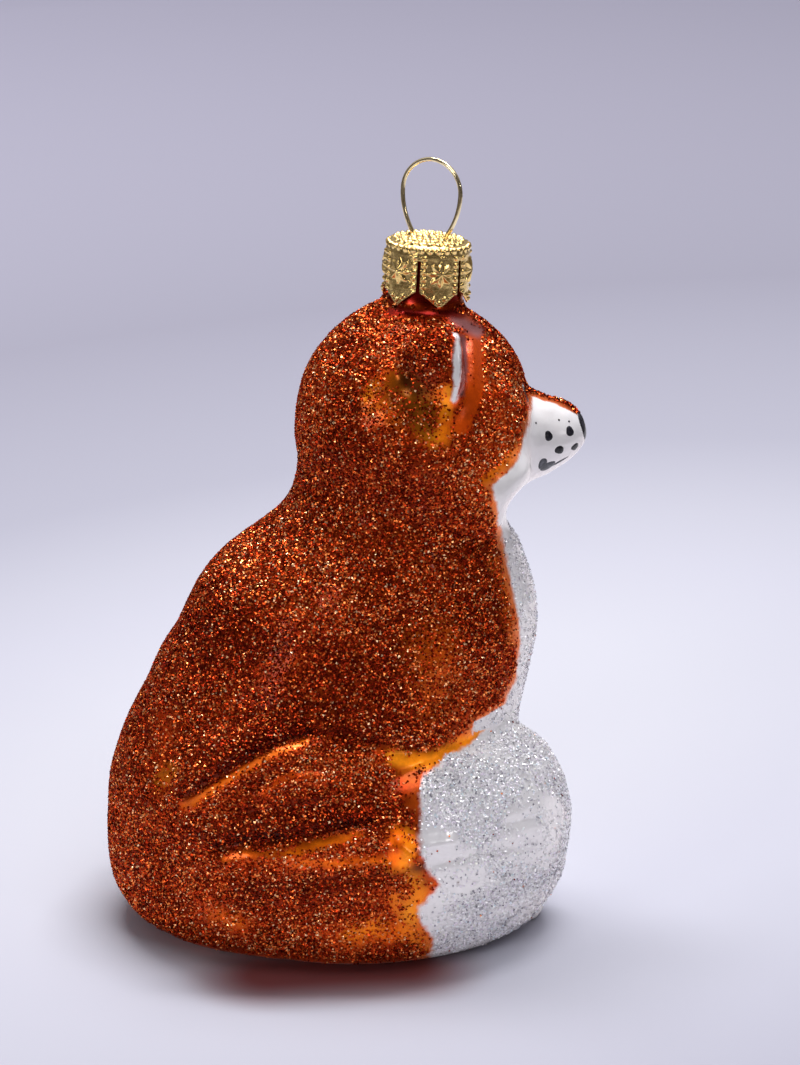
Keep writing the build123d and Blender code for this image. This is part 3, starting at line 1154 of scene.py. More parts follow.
@dataclass
class GlassFox:
    """The blown figure: its skin, its hollow and the values that the skin holds for finishes and glitter."""

    node: str = "glass_figure"
    voxel: float = 0.49 * MM
    smoothing: int = 18
    melting: int = 90
    hollow_share: float = 0.3
    cut_below_top: float = 0.35 * MM
    neck_reach: float = 3.0 * MM
    neck_radius: float = 6.0 * MM
    neck_length: float = 7.0 * MM
    lump_size: float = 9.0 * MM
    lump: float = 0.22 * MM
    dimple_size: float = 2.2 * MM
    dimple: float = 0.05 * MM
    tuft_size: float = 3.6 * MM
    tuft: float = 0.38 * MM
    wall: float = 0.45 * MM
    socket: float = 0.75 * MM
    socket_reach: float = 2.6 * MM
    tail_skin: float = -0.085
    ear_side: float = 9.0 * MM
    mirrored_foot: float = 24 * MM
    speck_top: float = 56 * MM
    chest_span: Point = (4 * MM, 54 * MM)
    zone_heights: tuple[float, float, float] = (21 * MM, 38 * MM, 55 * MM)
    rump_start: float = 14 * MM
    ring: TailRing = field(default_factory=TailRing)
    skin: bpy.types.Object | None = None
    hollow: bmesh.types.BMesh | None = None

    def shells(self) -> tuple[bmesh.types.BMesh, bmesh.types.BMesh]:
        """Take the glass apart into its outer and its inner face.

        Returns:
            The two faces, both open at the top of the neck.
        """
        shells = []
        for keep_outer in (True, False):
            bm = bmesh.new()
            bm.from_mesh(frame["nodes"][self.node].data)
            bmesh.ops.remove_doubles(bm, verts=bm.verts, dist=1e-6)
            self.cut_neck(bm)
            outer = self.joined(min(bm.verts, key=lambda v: v.co.z))
            drop = [v for v in bm.verts if (v in outer) != keep_outer]
            bmesh.ops.delete(bm, geom=drop, context="VERTS")
            shells.append(bm)
        return shells[0], shells[1]

    def cut_neck(self, bm: bmesh.types.BMesh) -> None:
        """Cut off what stands past the neck's open end.

        Args:
            bm: The bmesh to cut.
        """
        everything = [*bm.verts, *bm.edges, *bm.faces]
        cut = NECK.top - NECK.axis * self.cut_below_top
        bmesh.ops.bisect_plane(
            bm, geom=everything, dist=1e-7, plane_co=cut, plane_no=NECK.axis, clear_outer=True
        )

    @staticmethod
    def joined(start: bmesh.types.BMVert) -> set[bmesh.types.BMVert]:
        """Follow the edges from one vertex.

        Args:
            start: The vertex.

        Returns:
            Every vertex that edges join to it.
        """
        found, front = {start}, [start]
        while front:
            for edge in front.pop().link_edges:
                for vert in edge.verts:
                    if vert not in found:
                        found.add(vert)
                        front.append(vert)
        return found

    @staticmethod
    def open_edges(bm: bmesh.types.BMesh) -> list[bmesh.types.BMEdge]:
        """Edges that have only one face."""
        return [edge for edge in bm.edges if edge.is_boundary]

    def build_skin(self) -> None:
        """Remesh the outer face evenly, tuck it in under the muzzle, melt its creases and sculpt it."""
        outer, self.hollow = self.shells()
        lid = bmesh.ops.holes_fill(outer, edges=self.open_edges(outer), sides=0)["faces"]
        raised = bmesh.ops.extrude_face_region(outer, geom=lid)["geom"]
        lifted = [item for item in raised if isinstance(item, bmesh.types.BMVert)]
        bmesh.ops.translate(outer, verts=lifted, vec=NECK.axis * self.neck_reach)
        bmesh.ops.triangulate(outer, faces=[f for f in outer.faces if len(f.verts) > 4])
        self.skin = object_of(outer, "fox_skin")
        even = self.skin.modifiers.new("even", "REMESH")
        even.mode = "VOXEL"
        even.voxel_size = self.voxel * 1.0
        settle(self.skin)
        places = places_of(self.skin.data)
        twin = self.twin(places)
        places += normals_of(self.skin.data) * total(MARKS.tuck, twin)[:, None] * MM
        self.skin.data.vertices.foreach_set("co", places.ravel())
        groups = (
            ("all", np.ones(len(twin)), self.smoothing),
            ("melt", total(MARKS.melt, twin), self.melting),
        )
        for name, weights, rounds in groups:
            group = self.skin.vertex_groups.new(name=name)
            for number in np.flatnonzero(weights > 0.01):
                group.add([int(number)], float(weights[number]), "REPLACE")
            smooth = self.skin.modifiers.new(name, "SMOOTH")
            smooth.vertex_group = name
            smooth.factor = 0.5
            smooth.iterations = rounds
        settle(self.skin)
        self.sculpt()

    @staticmethod
    def twin(places: np.ndarray) -> np.ndarray:
        """Pixels of places, where those on the far side take their twins' on the near side."""
        return VIEW.seen(places * np.where(places[:, :1] > 0, (-1, 1, 1), (1, 1, 1)))

    def sculpt(self) -> None:
        """Move the skin along its normals: grooves, fur ridges, ear rims and the waviness of blown glass."""
        mesh = self.skin.data
        places, normals = places_of(mesh), normals_of(mesh)
        seen = VIEW.seen(places)
        twin = self.twin(places)
        shown = smooth_step(-0.3, 0.2, -normals[:, 0] + normals[:, 2])
        near = smooth_step(0.0, 4.0 * MM, -places[:, 0]) * shown
        facing = smooth_step(-0.35, 0.1, np.abs(normals[:, 0]) - 0.15)
        moved = total(MARKS.relief, seen) * near + total(MARKS.mirrored_relief, twin) * facing
        moved *= MM
        for side in (-1, 1):
            eye = np.array((side * FACE.eye_side, FACE.eye_front, FACE.eye_height))
            gap = np.linalg.norm(places - eye, axis=1)
            moved -= self.socket * np.exp(-((gap / self.socket_reach) ** 2))
        neck_gap = self.off_neck(places)
        off_neck = smooth_step(0, 3 * MM, neck_gap)
        moved += cloud(places, self.lump_size, 1.3) * self.lump * off_neck
        moved += cloud(places, self.dimple_size, 4.1) * self.dimple * off_neck
        furry = np.clip(total(MARKS.tufts, seen) * near, 0, 1)
        moved += cloud(places, self.tuft_size, 7.7) * self.tuft * furry
        flat = smooth_step(0.25 * MM, 1.2 * MM, places[:, 2])
        moved *= np.where(neck_gap > 0, 1, 0) * flat
        places += normals * moved[:, None]
        places[:, 2] = np.maximum(places[:, 2], 0)
        mesh.vertices.foreach_set("co", places.ravel())
        mesh.update()

    def off_neck(self, places: np.ndarray) -> np.ndarray:
        """How far places are from the neck tube.

        Args:
            places: Places, one a row.

        Returns:
            Distances from the tube's wall or foot, below 0 on the tube.
        """
        local = NECK.local(places)
        out = np.hypot(local[:, 0], local[:, 1]) - self.neck_radius
        return np.maximum(out, -self.neck_length - local[:, 2])

    def paint(self) -> None:
        """Work out the values that the finishes and the glitter read, among them painted highlights, painted
        shade and a painted glow.
        """
        mesh = self.skin.data
        places = places_of(mesh)
        seen = VIEW.seen(places)
        twin = self.twin(places)
        tail = self.ring.depth(places) > self.tail_skin
        wander = cloud(places, 3.0 * MM, 7.7, 3)
        edge = np.array(MARKS.coat_edge, float)
        brow = np.array(MARKS.muzzle_top, float)
        tip = np.array(MARKS.tail_edge, float)
        pixel = VIEW.distance / VIEW.focal_px / MM
        front = twin[:, 0] - np.interp(twin[:, 1], edge[:, 1], edge[:, 0])
        under = twin[:, 1] - np.interp(twin[:, 0], brow[:, 0], brow[:, 1])
        low = smooth_step(0.5 * MM, 3.0 * MM, places[:, 2])
        white = np.minimum(front, np.where(twin[:, 0] > MARKS.bridge, under * 2.2, under)) * pixel
        back = np.array(MARKS.tail_top, float)
        past = seen[:, 0] - np.interp(seen[:, 1], tip[:, 1], tip[:, 0])
        past = np.minimum(past, seen[:, 1] - np.interp(seen[:, 0], back[:, 0], back[:, 1]))
        white = np.where(tail, past * pixel * 0.6, white)
        white += wander * 0.35
        rim = np.where(np.abs(places[:, 0]) > self.ear_side, deepest(MARKS.ear_white, twin) * pixel, -9.0)
        fringe = smooth_step(-1.5, -0.1, white) * np.where(tail, 0.10, 1.0)
        white = np.maximum(white, rim * 1.1)
        near = (places[:, 0] < 0) | (places[:, 2] > self.mirrored_foot)
        neck_gap = self.off_neck(places)
        neck = np.maximum(1 - smooth_step(0.3 * MM, 1.3 * MM, neck_gap), total(MARKS.collar, twin))
        orange = 1 - smooth_step(-0.9, -0.15, white + 0.5 * cloud(places, 2.0 * MM, 3.3))
        bare = np.clip(total(MARKS.bare, twin) * near, 0, 1)
        patchy = 0.86 + 0.22 * cloud(places, 5.0 * MM, 2.9)
        clear = smooth_step(0.7 * MM, 1.6 * MM, neck_gap + wander * 0.6 * MM)
        bed = np.clip(orange * (1 - bare) * patchy * clear, 0, 1) * low
        copper = bed + 0.0018 * (white > 0) * (places[:, 2] < self.speck_top)
        frost = 0.30 + total(MARKS.frost, seen) + 0.12 * cloud(places, 4.0 * MM, 9.2)
        frost *= 1 - np.clip(total(MARKS.frost_bare, seen), 0, 1)
        frost *= (tail & (white > 0.15)) * low
        foot, top = self.chest_span
        chest = (~tail) & (white > 0.1) & (places[:, 2] < top) & (places[:, 2] > foot)
        frost = np.clip(np.where(chest, 0.30, frost), 0, 1)
        zone = np.digitize(places[:, 2], self.zone_heights)
        zone = np.where((zone == 0) & (places[:, 1] > self.rump_start), 4, zone)
        held = {
            "white": white,
            # Painted highlights, painted shade and painted glow, from the marks.
            "amber": np.clip(total(MARKS.amber, twin) * near, 0, 1),
            "glow": np.clip(total(MARKS.glow, twin) * near + 0.05 * cloud(places, 6 * MM, 6.1), 0, 1),
            "umber": np.clip(total(MARKS.umber, twin) * near, 0, 1),
            "veil": np.clip(total(MARKS.veil, twin) * (np.abs(places[:, 0]) > 2 * MM), 0, 1),
            "neck": neck,
            "ember": np.clip(total(MARKS.ember, twin) * near, 0, 1),
            # Painted light and shade, with tone that differs at random.
            "cast": total(MARKS.cast, twin) * near + 0.45 * cloud(places, 6.5 * MM, 5.2, 3),
            "bed": bed,
            "fringe": fringe,
        }
        for number, name in enumerate(("legs", "flank", "back", "head", "rump")):
            held[f"copper_{name}"] = copper * (zone == number)
        held["frost"] = frost
        for name, values in held.items():
            keep_field(mesh, name, values)

    def keep_wall(self, outside: bmesh.types.BMesh) -> None:
        """Push the hollow inward wherever the sculpted skin came nearer to it than the glass is thick.

        Args:
            outside: The sculpted outer face.
        """
        surface = BVHTree.FromBMesh(outside)
        below = NECK.top - NECK.axis * 2 * MM
        for vert in self.hollow.verts:
            for _ in range(6):
                spot, normal, _, _ = surface.find_nearest(vert.co)
                thin = (vert.co - spot).dot(normal) + self.wall
                if thin < 0.01 * MM or (vert.co - below).dot(NECK.axis) > 0:
                    break
                vert.co -= normal * thin

    def close(self) -> bpy.types.Object:
        """Open the skin's neck and join the hollow to it.

        Returns:
            The finished glass.
        """
        bm = bmesh.new()
        bm.from_mesh(self.skin.data)
        self.cut_neck(bm)
        outer_faces = len(bm.faces)
        self.keep_wall(bm)
        inner = object_of(self.hollow, "hollow")
        thinned = inner.modifiers.new("thinned", "DECIMATE")
        thinned.ratio = self.hollow_share
        bm.from_mesh(settle(inner).data)
        bpy.data.objects.remove(inner)
        bmesh.ops.bridge_loops(bm, edges=self.open_edges(bm))
        for number, face in enumerate(bm.faces):
            face.material_index = int(number >= outer_faces)
        glass = object_of(bm, "fox_glass")
        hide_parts(self.node)
        return finish_piece(glass, Body.FIGURE, Slot.LACQUER, Lacquer().material(), Silvering().material())


@dataclass
class Glitter:
    """Flakes strewn on the skin, each thin, closed and folded across its middle."""

    skin: bpy.types.Object
    flake_radius: float = 0.178 * MM
    fold: float = 0.12
    spacing: float = 0.162 * MM
    frost_spread: float = 1.15
    size_shares: Point = (0.72, 1.22)
    lift: float = 0.07 * MM
    lift_shares: Point = (0.3, 1.9)
    copper_tilt: float = 0.75
    frost_tilt: float = 0.7
    copper_seed: int = 11
    frost_seed: int = 71
    cells: int = 8
    cell_fill: float = 0.7
    copper: Flakes = Flakes(
        "copper_flakes",
        stops=(
            (0.00, (0.100, 0.004, 0.001)),
            (0.30, (0.220, 0.010, 0.002)),
            (0.55, (0.560, 0.042, 0.007)),
            (0.76, (0.800, 0.115, 0.018)),
            (0.90, (0.900, 0.270, 0.065)),
            # Painted glints: the palest tones stand in for flakes that catch a lamp.
            (0.96, (1.000, 0.460, 0.200)),
            (1.00, (1.000, 0.700, 0.420)),
        ),
    )
    frost: Flakes = Flakes(
        "frost_flakes",
        stops=(
            (0.00, (0.260, 0.250, 0.300)),
            (0.08, (0.580, 0.570, 0.630)),
            (0.22, (0.940, 0.930, 0.960)),
            (0.70, (0.970, 0.960, 1.000)),
            (0.85, (0.950, 0.850, 1.000)),
            (0.93, (0.800, 0.920, 1.000)),
            (1.00, (1.000, 0.980, 0.900)),
        ),
        metal=0.20,
        roughness=0.22,
        edge=(1.0, 1.0, 1.0),
    )

    def flake(self) -> bpy.types.Object:
        """Make one closed flake, folded across its middle.

        Returns:
            The flake, which holds each corner's place in its patch of the map.
        """
        bm = bmesh.new()
        fold = self.fold
        ends = [bm.verts.new(place) for place in ((-1, 0, fold), (1, 0, fold), (0, -1, -fold), (0, 1, -fold))]
        bmesh.ops.convex_hull(bm, input=ends)
        bmesh.ops.recalc_face_normals(bm, faces=bm.faces)
        mesh = bpy.data.meshes.new("flake")
        bm.to_mesh(mesh)
        bm.free()
        places = places_of(mesh)
        keep_field(mesh, "patch_u", (places[:, 0] + 1) / 2)
        keep_field(mesh, "patch_v", (places[:, 1] + 1) / 2)
        return new_object("flake", mesh)

    def strew(
        self,
        name: str,
        where: str,
        spacing: float,
        tilt: float,
        seed: int,
        slot: Slot,
        material: bpy.types.Material,
    ) -> bpy.types.Object:
        """Strew one piece of glitter.

        Args:
            name: The piece's name.
            where: Name of the skin's values that say how densely.
            spacing: Least distance between flakes.
            tilt: Most turn of a flake out of the skin's plane.
            seed: Seed of its random draws.
            slot: Slot of the record, handed on to finish_piece.
            material: Its finish.

        Returns:
            The piece.
        """
        tree = bpy.data.node_groups.new(name, "GeometryNodeTree")
        tree.interface.new_socket(name="Geometry", in_out="INPUT", socket_type="NodeSocketGeometry")
        tree.interface.new_socket(name="Geometry", in_out="OUTPUT", socket_type="NodeSocketGeometry")
        sheet = NodeSheet(tree)
        flake = self.flake()
        source = sheet.node("NodeGroupInput")
        scatter = {
            "Mesh": source,
            "Distance Min": spacing,
            "Density Max": 3.0 / spacing**2,
            "Density Factor": sheet.held(where),
            "Seed": seed,
        }
        points = sheet.node("GeometryNodeDistributePointsOnFaces", {"distribute_method": "POISSON"}, scatter)
        normal, upright = points.other("Normal"), points.other("Rotation")
        # Each flake's tone is drawn at random, then lightened or darkened by the painted light and shade that
        # the skin holds.
        tone = self.random(sheet, "FLOAT", 0.0, 1.0, seed + 1) ** (sheet.held("cast") * -0.9).math("EXPONENT")
        points = sheet.node(
            "GeometryNodeStoreNamedAttribute",
            {"data_type": "FLOAT", "domain": "POINT"},
            {"Geometry": points, "Name": "tone", "Value": tone},
        )
        least, most = self.lift_shares
        height = self.random(sheet, "FLOAT", least * self.lift, most * self.lift, seed + 4)
        raised = sheet.node(
            "ShaderNodeVectorMath", {"operation": "SCALE"}, {"Vector": normal, "Scale": height}, "Vector"
        )
        points = sheet.node("GeometryNodeSetPosition", sockets={"Geometry": points, "Offset": raised})
        turn = self.random(sheet, "FLOAT_VECTOR", (-tilt, -tilt, -pi), (tilt, tilt, pi), seed + 2)
        local = {"rotation_space": "LOCAL"}
        lying = sheet.node("FunctionNodeRotateRotation", local, {"Rotation": upright, "Rotate By": turn})
        least, most = self.size_shares
        size = self.random(sheet, "FLOAT", least * self.flake_radius, most * self.flake_radius, seed + 3)
        shape = sheet.node("GeometryNodeObjectInfo", sockets={"Object": flake}, output="Geometry")
        put = {"Points": points, "Instance": shape, "Rotation": lying, "Scale": size}
        flakes = sheet.node("GeometryNodeInstanceOnPoints", sockets=put)
        real = sheet.node("GeometryNodeRealizeInstances", sockets={"Geometry": flakes})
        sheet.node("NodeGroupOutput", sockets={"Geometry": real})
        piece = new_object(name, self.skin.data.copy())
        piece.modifiers.new("strew", "NODES").node_group = tree
        settle(piece)
        bpy.data.objects.remove(flake)
        self.lay_map(piece.data)
        return finish_piece(piece, Body.FIGURE, slot, material)

    @staticmethod
    def random(sheet: NodeSheet, kind: str, low: object, high: object, seed: int) -> Signal:
        """Draw a random value for each point.

        Args:
            sheet: Node tree to draw in.
            kind: FLOAT or FLOAT_VECTOR.
            low: Least value.
            high: Most value.
            seed: Seed of the draw.

        Returns:
            The values.
        """
        output = 0 if kind == "FLOAT_VECTOR" else 1
        sockets = {"Min": low, "Max": high, "Seed": seed}
        return sheet.node("FunctionNodeRandomValue", {"data_type": kind}, sockets, output)

    def lay_map(self, mesh: bpy.types.Mesh) -> None:
        """Give flakes of one tone one cell of the colour map, and every face some of that cell.

        Args:
            mesh: Mesh of the strewn flakes.
        """
        read = {}
        for name in ("tone", "patch_u", "patch_v"):
            read[name] = np.empty(len(mesh.vertices), np.float32)
            mesh.attributes[name].data.foreach_get("value", read[name])
        count = self.cells**2
        cell = np.clip((read["tone"] * count).astype(int), 0, count - 1)
        mesh.attributes["tone"].data.foreach_set("value", ((cell + 0.5) / count).astype(np.float32))
        margin = (1 - self.cell_fill) / 2
        across = (cell % self.cells + margin + self.cell_fill * read["patch_u"]) / self.cells
        up = (cell // self.cells + margin + self.cell_fill * read["patch_v"]) / self.cells
        corners = np.empty(len(mesh.loops), np.int32)
        mesh.loops.foreach_get("vertex_index", corners)
        layer = mesh.uv_layers.new(name="OFBake")
        layer.data.foreach_set("uv", np.stack([across[corners], up[corners]], 1).ravel().astype(np.float32))
        for name in ("patch_u", "patch_v"):
            mesh.attributes.remove(mesh.attributes[name])

    def build(self) -> None:
        """Strew copper flakes on the orange lacquer and pale ones on the white."""
        copper, frost = self.copper.material(), self.frost.material()
        spacing = self.spacing * 1.0
        for number, zone in enumerate(("head", "back", "flank", "rump", "legs")):
            name, seed = f"copper_glitter_{zone}", self.copper_seed + 10 * number
            self.strew(name, f"copper_{zone}", spacing, self.copper_tilt, seed, Slot.COPPER, copper)
        spacing *= self.frost_spread
        self.strew("frost_glitter", "frost", spacing, self.frost_tilt, self.frost_seed, Slot.FROST, frost)


@dataclass
class Face:
    """Enamel marks of the face, each a thin lens of paint that follows the skin."""

    skin: bpy.types.Object
    surface: BVHTree | None = None

    def lens(
        self, name: str, centre: Vector, out: Vector, dab: Dab, paint: bpy.types.Material, turn: float = 0.0
    ) -> bpy.types.Object:
        """Lay a lens of paint on the skin.

        Args:
            name: The piece's name.
            centre: Place near the skin that it is centred on.
            out: Direction that it faces.
            dab: Its size and outline.
            paint: Its material.
            turn: Angle it is turned by, from level.

        Returns:
            The finished piece.
        """
        out = out.normalized()
        level = Vector((0, 0, 1)).cross(out).normalized()
        side = level * cos(turn) + out.cross(level) * sin(turn)
        top = out.cross(side)
        bm = bmesh.new()
        bmesh.ops.create_uvsphere(bm, u_segments=28, v_segments=12, radius=1.0)
        for vert in bm.verts:
            spread = Vector((vert.co.x, vert.co.y))
            if spread.length > 1e-6:
                way = atan2(spread.y, spread.x)
                fullness = (abs(cos(way)) ** dab.power + abs(sin(way)) ** dab.power) ** (-1 / dab.power)
                phase = centre.z / MM
                fullness *= 1 + dab.wobble * (0.6 * sin(2 * way + phase) + 0.4 * sin(3 * way + 2 * phase))
                spread = spread * fullness
            spot = centre + side * spread.x * dab.half[0] + top * spread.y * dab.half[1]
            hit, normal, _, _ = self.surface.ray_cast(spot + out * 6 * MM, -out)
            if hit is None:
                hit, normal, _, _ = self.surface.find_nearest(spot)
            vert.co = hit + normal * (vert.co.z * dab.lift)
        bmesh.ops.recalc_face_normals(bm, faces=bm.faces)
        return finish_piece(object_of(bm, name), Body.FIGURE, dab.slot, paint)

    def spots(self, pixels: Line) -> list[tuple[Vector, Vector]]:
        """Find where pixels are on the skin, and their twins on the other side.

        Args:
            pixels: The pixels.

        Returns:
            Place and normal of each pixel, followed by its twin's.
        """
        found = []
        for pixel in pixels:
            eye, way = VIEW.ray(pixel)
            hit, normal, _, _ = self.surface.ray_cast(eye, way)
            if hit is None:
                hit, normal, _, _ = self.surface.find_nearest(eye + way * VIEW.distance)
            for side in (1, -1):
                place = Vector((side * hit.x, hit.y, hit.z))
                found.append((place, Vector((side * normal.x, normal.y, normal.z))))
        return found

    def build(self) -> None:
        """Paint the nose, the whisker dots, the mouth and the eyes."""
        bm = bmesh.new()
        bm.from_mesh(self.skin.data)
        self.surface = BVHTree.FromBMesh(bm)
        bm.free()
        black = Enamel("black_paint").material()
        glint = Enamel("white_paint", (0.80, 0.80, 0.80), (0.7, 0.7, 0.72)).material()
        grey = Enamel("thin_black_paint", (0.045, 0.047, 0.062), (0.16, 0.16, 0.19), 0.30).material()
        tip = Vector((0, FACE.nose_front, FACE.nose_height))
        self.lens("nose_paint", tip, Vector((0, -1, 0.35)), FACE.nose, black)
        dots = (("whisker_dot", FACE.whiskers, FACE.whisker), ("paint_speck", FACE.specks, FACE.speck))
        for name, pixels, dab in dots:
            for number, (place, normal) in enumerate(self.spots(pixels)):
                self.lens(f"{name}_{number + 1}", place, normal, dab, black)
        for number, (place, _) in enumerate(self.spots(FACE.mouth)):
            hand = 1 if place.x < 0 else -1
            out = Vector((-hand, -0.35, -0.20))
            lip, turn = FACE.lips[number // 2], hand * FACE.lip_turns[number // 2]
            self.lens(f"mouth_paint_{number + 1}", place, out, lip, grey, turn)
        for side, word in ((-1, "right"), (1, "left")):
            spot = Vector((side * FACE.eye_side, FACE.eye_front, FACE.eye_height))
            out = Vector((side * 0.2, -1, 0.12))
            self.lens(f"{word}_eye", spot, out, FACE.eye, black)
            self.lens(f"{word}_eye_glint", spot + Vector(FACE.glint_off), out, FACE.glint, glint)


@dataclass
class CrownCap:
    """The stamped cap: a beaded top and six pointed petals with starbursts."""

    petals: int = 6
    columns: int = 56
    first_petal: float = radians(10.0)
    radius: float = 5.5 * MM
    flare: float = 0.15 * MM
    length: float = 7.9 * MM
    shoulder: float = 1.25 * MM
    crown: float = 0.35 * MM
    slit: float = 0.46 * MM
    slit_drop: float = 1.9 * MM
    point_length: float = 1.9 * MM
    point_half: float = 0.25 * MM
    sheet: float = 0.2 * MM
    hole_radius: float = 0.5 * MM
    hole_out: float = 2.5 * MM
    hole_turn: float = radians(52.0)
    bead: float = 0.34 * MM
    bead_height: float = 0.34 * MM
    bead_pitch: float = 0.92 * MM
    bead_inset: float = 0.44 * MM
    bead_lead: float = 0.35 * MM
    bead_slack: Point = (0.1 * MM, 0.2 * MM)
    bead_stop: float = 0.5 * MM
    hem_width: float = 0.16 * MM
    hem_height: float = 0.05 * MM
    crown_bead: float = 0.46 * MM
    crown_height: float = 0.34 * MM
    crown_pitch: float = 1.10 * MM
    crown_rings: int = 5
    star: float = 1.85 * MM
    star_drop: float = 3.55 * MM
    star_height: float = 0.50 * MM
    ray_width: float = 0.25
    ray_least: float = 0.02 * MM
    ray_foot: float = 0.06
    ray_fall: float = 0.45
    top_rows: int = 42
    shoulder_rows: int = 20
    collar_rows: int = 6
    petal_rows: int = 60

    def rings(self) -> list[Point]:
        """Rows of the smooth cap.

        Returns:
            Radius and height of each, from the middle of its top to its points.
        """
        flat = self.radius - self.shoulder
        rows = []
        for n in range(self.top_rows + 1):
            rows.append((flat * n / self.top_rows, self.crown * (1 - (n / self.top_rows) ** 2)))
        for n in range(1, self.shoulder_rows + 1):
            turn = pi / 2 * n / self.shoulder_rows
            rows.append((flat + self.shoulder * sin(turn), -self.shoulder * (1 - cos(turn))))
        for start, stop, count in (
            (self.shoulder, self.slit_drop, self.collar_rows),
            (self.slit_drop, self.length, self.petal_rows),
        ):
            for n in range(1, count + 1):
                drop = start + (stop - start) * n / count
                rows.append((self.radius + self.flare * drop / self.length, -drop))
        return rows

    def half_turn(self, drop: float) -> float:
        """Half of the angle that a petal spans.

        Args:
            drop: Depth below the cap's top.

        Returns:
            The angle.
        """
        full = pi / self.petals - self.slit / 2 / self.radius
        start = self.length - self.point_length
        if drop <= start:
            return full
        share = (drop - start) / self.point_length
        point = self.point_half / self.radius
        return full + (point - full) * share

    def pressed(self, along: float, drop: float, half_arc: float) -> float:
        """Height of the stamped pattern on a petal.

        Args:
            along: Distance round the cap from the petal's middle line.
            drop: Depth below the cap's top.
            half_arc: Half of the petal's width at its slits.

        Returns:
            Height over the smooth cap.
        """
        edge = half_arc - abs(along)
        start = self.length - self.point_length
        slope = half_arc / self.point_length
        slant = (1 + slope**2) ** 0.5
        point_edge = (self.length - drop - abs(along) / slope) * slope / slant
        height = self.hem_height if min(edge, point_edge) < self.hem_width else 0.0
        top = self.slit_drop - self.bead_lead
        nearest = top + round((drop - top) / self.bead_pitch) * self.bead_pitch
        if top - self.bead_slack[0] < nearest < start + self.bead_slack[1]:
            gap = ((edge - self.bead_inset) ** 2 + (drop - nearest) ** 2) ** 0.5
            height = max(height, self.dome(gap, self.bead) * self.bead_height)
        if drop > start:
            run = (abs(along) + (point_edge - self.bead_inset) / slant) * slant / slope
            nearest = round(run / self.bead_pitch) * self.bead_pitch
            gap = ((point_edge - self.bead_inset) ** 2 + (run - nearest) ** 2) ** 0.5
            if nearest < self.point_length - self.bead_stop:
                height = max(height, self.dome(gap, self.bead) * self.bead_height)
        down = drop - self.star_drop
        out = (along**2 + down**2) ** 0.5
        if out < self.star:
            turn = atan2(down, along)
            ray = round(turn / (pi / 4)) * (pi / 4)
            share = out * cos(turn - ray) / self.star
            width = self.star * self.ray_width * sin(pi * min(1.0, share + self.ray_foot)) + self.ray_least
            ridge = max(0.0, 1 - abs(out * sin(turn - ray)) / width)
            height = max(height, self.star_height * ridge * (1 - self.ray_fall * share))
        return height

    @staticmethod
    def dome(gap: float, radius: float) -> float:
        """Height share of a bead at a distance from its middle."""
        return max(0.0, 1 - (gap / radius) ** 2) ** 0.5

    def crown_beads(self, way: float, turn: float) -> float:
        """Height of the bead rings on the cap's top and shoulder.

        Args:
            way: Distance from the middle of the top, along the smooth cap.
            turn: Angle round the cap.

        Returns:
            Height over the smooth cap.
        """
        number = round(way / self.crown_pitch)
        if not 1 <= number <= self.crown_rings:
            return 0.0
        flat = self.radius - self.shoulder
        ring = number * self.crown_pitch
        radius = ring if ring < flat else flat + self.shoulder * sin((ring - flat) / self.shoulder)
        step = tau / round(tau * radius / self.crown_pitch)
        start = step * 0.5 * (number % 2)
        along = (turn - start - round((turn - start) / step) * step) * radius
        gap = ((way - ring) ** 2 + along**2) ** 0.5
        return max(0.0, 1 - (gap / self.crown_bead) ** 2) * self.crown_height

    def build(self) -> bpy.types.Object:
        """Press the cap.

        Returns:
            The finished cap.
        """
        rows = self.rings()
        steps = self.petals * self.columns
        bm = bmesh.new()
        line = [bm.verts.new((1.0, 0.0, -float(n))) for n in range(len(rows))]
        spokes = [bm.edges.new(pair) for pair in zip(line, line[1:])]
        bmesh.ops.spin(
            bm, geom=[*line, *spokes], cent=(0, 0, 0), axis=(0, 0, 1), angle=tau, steps=steps, use_merge=True
        )
        self.cut_slits(bm, steps)
        self.bend(bm, rows, steps)
        bmesh.ops.remove_doubles(bm, verts=bm.verts, dist=1e-7)
        bmesh.ops.recalc_face_normals(bm, faces=bm.faces)
        if sum(f.normal.z for f in bm.faces if f.calc_center_median().z > -0.1 * MM) < 0:
            bmesh.ops.reverse_faces(bm, faces=bm.faces)
        self.pierce(bm)
        cap = object_of(bm, "crown_cap")
        cap.data.transform(NECK.matrix())
        wall = cap.modifiers.new("wall", "SOLIDIFY")
        wall.thickness = self.sheet
        wall.offset = -1.0
        settle(cap)
        cap.data.shade_smooth()
        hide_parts("cap")
        return finish_piece(cap, Body.CROWN, Slot.CAP, Gilt("stamped_gilt").material())

    def column(self, vert: bmesh.types.BMVert, steps: int) -> tuple[int, int]:
        """Petal and column that a vertex of the unbent cap is in."""
        number = round(atan2(vert.co.y, vert.co.x) % tau / (tau / steps)) % steps
        return number // self.columns, number % self.columns

    def cut_slits(self, bm: bmesh.types.BMesh, steps: int) -> None:
        """Delete the strip of faces between petals, below the collar.

        Args:
            bm: The unbent cap.
            steps: Count of its columns.
        """
        collar = self.top_rows + self.shoulder_rows + self.collar_rows
        gone = []
        for face in bm.faces:
            if max(v.co.z for v in face.verts) > -collar + 0.5:
                continue
            columns = {self.column(v, steps)[1] for v in face.verts}
            if columns == {0, self.columns - 1}:
                gone.append(face)
        bmesh.ops.delete(bm, geom=gone, context="FACES")

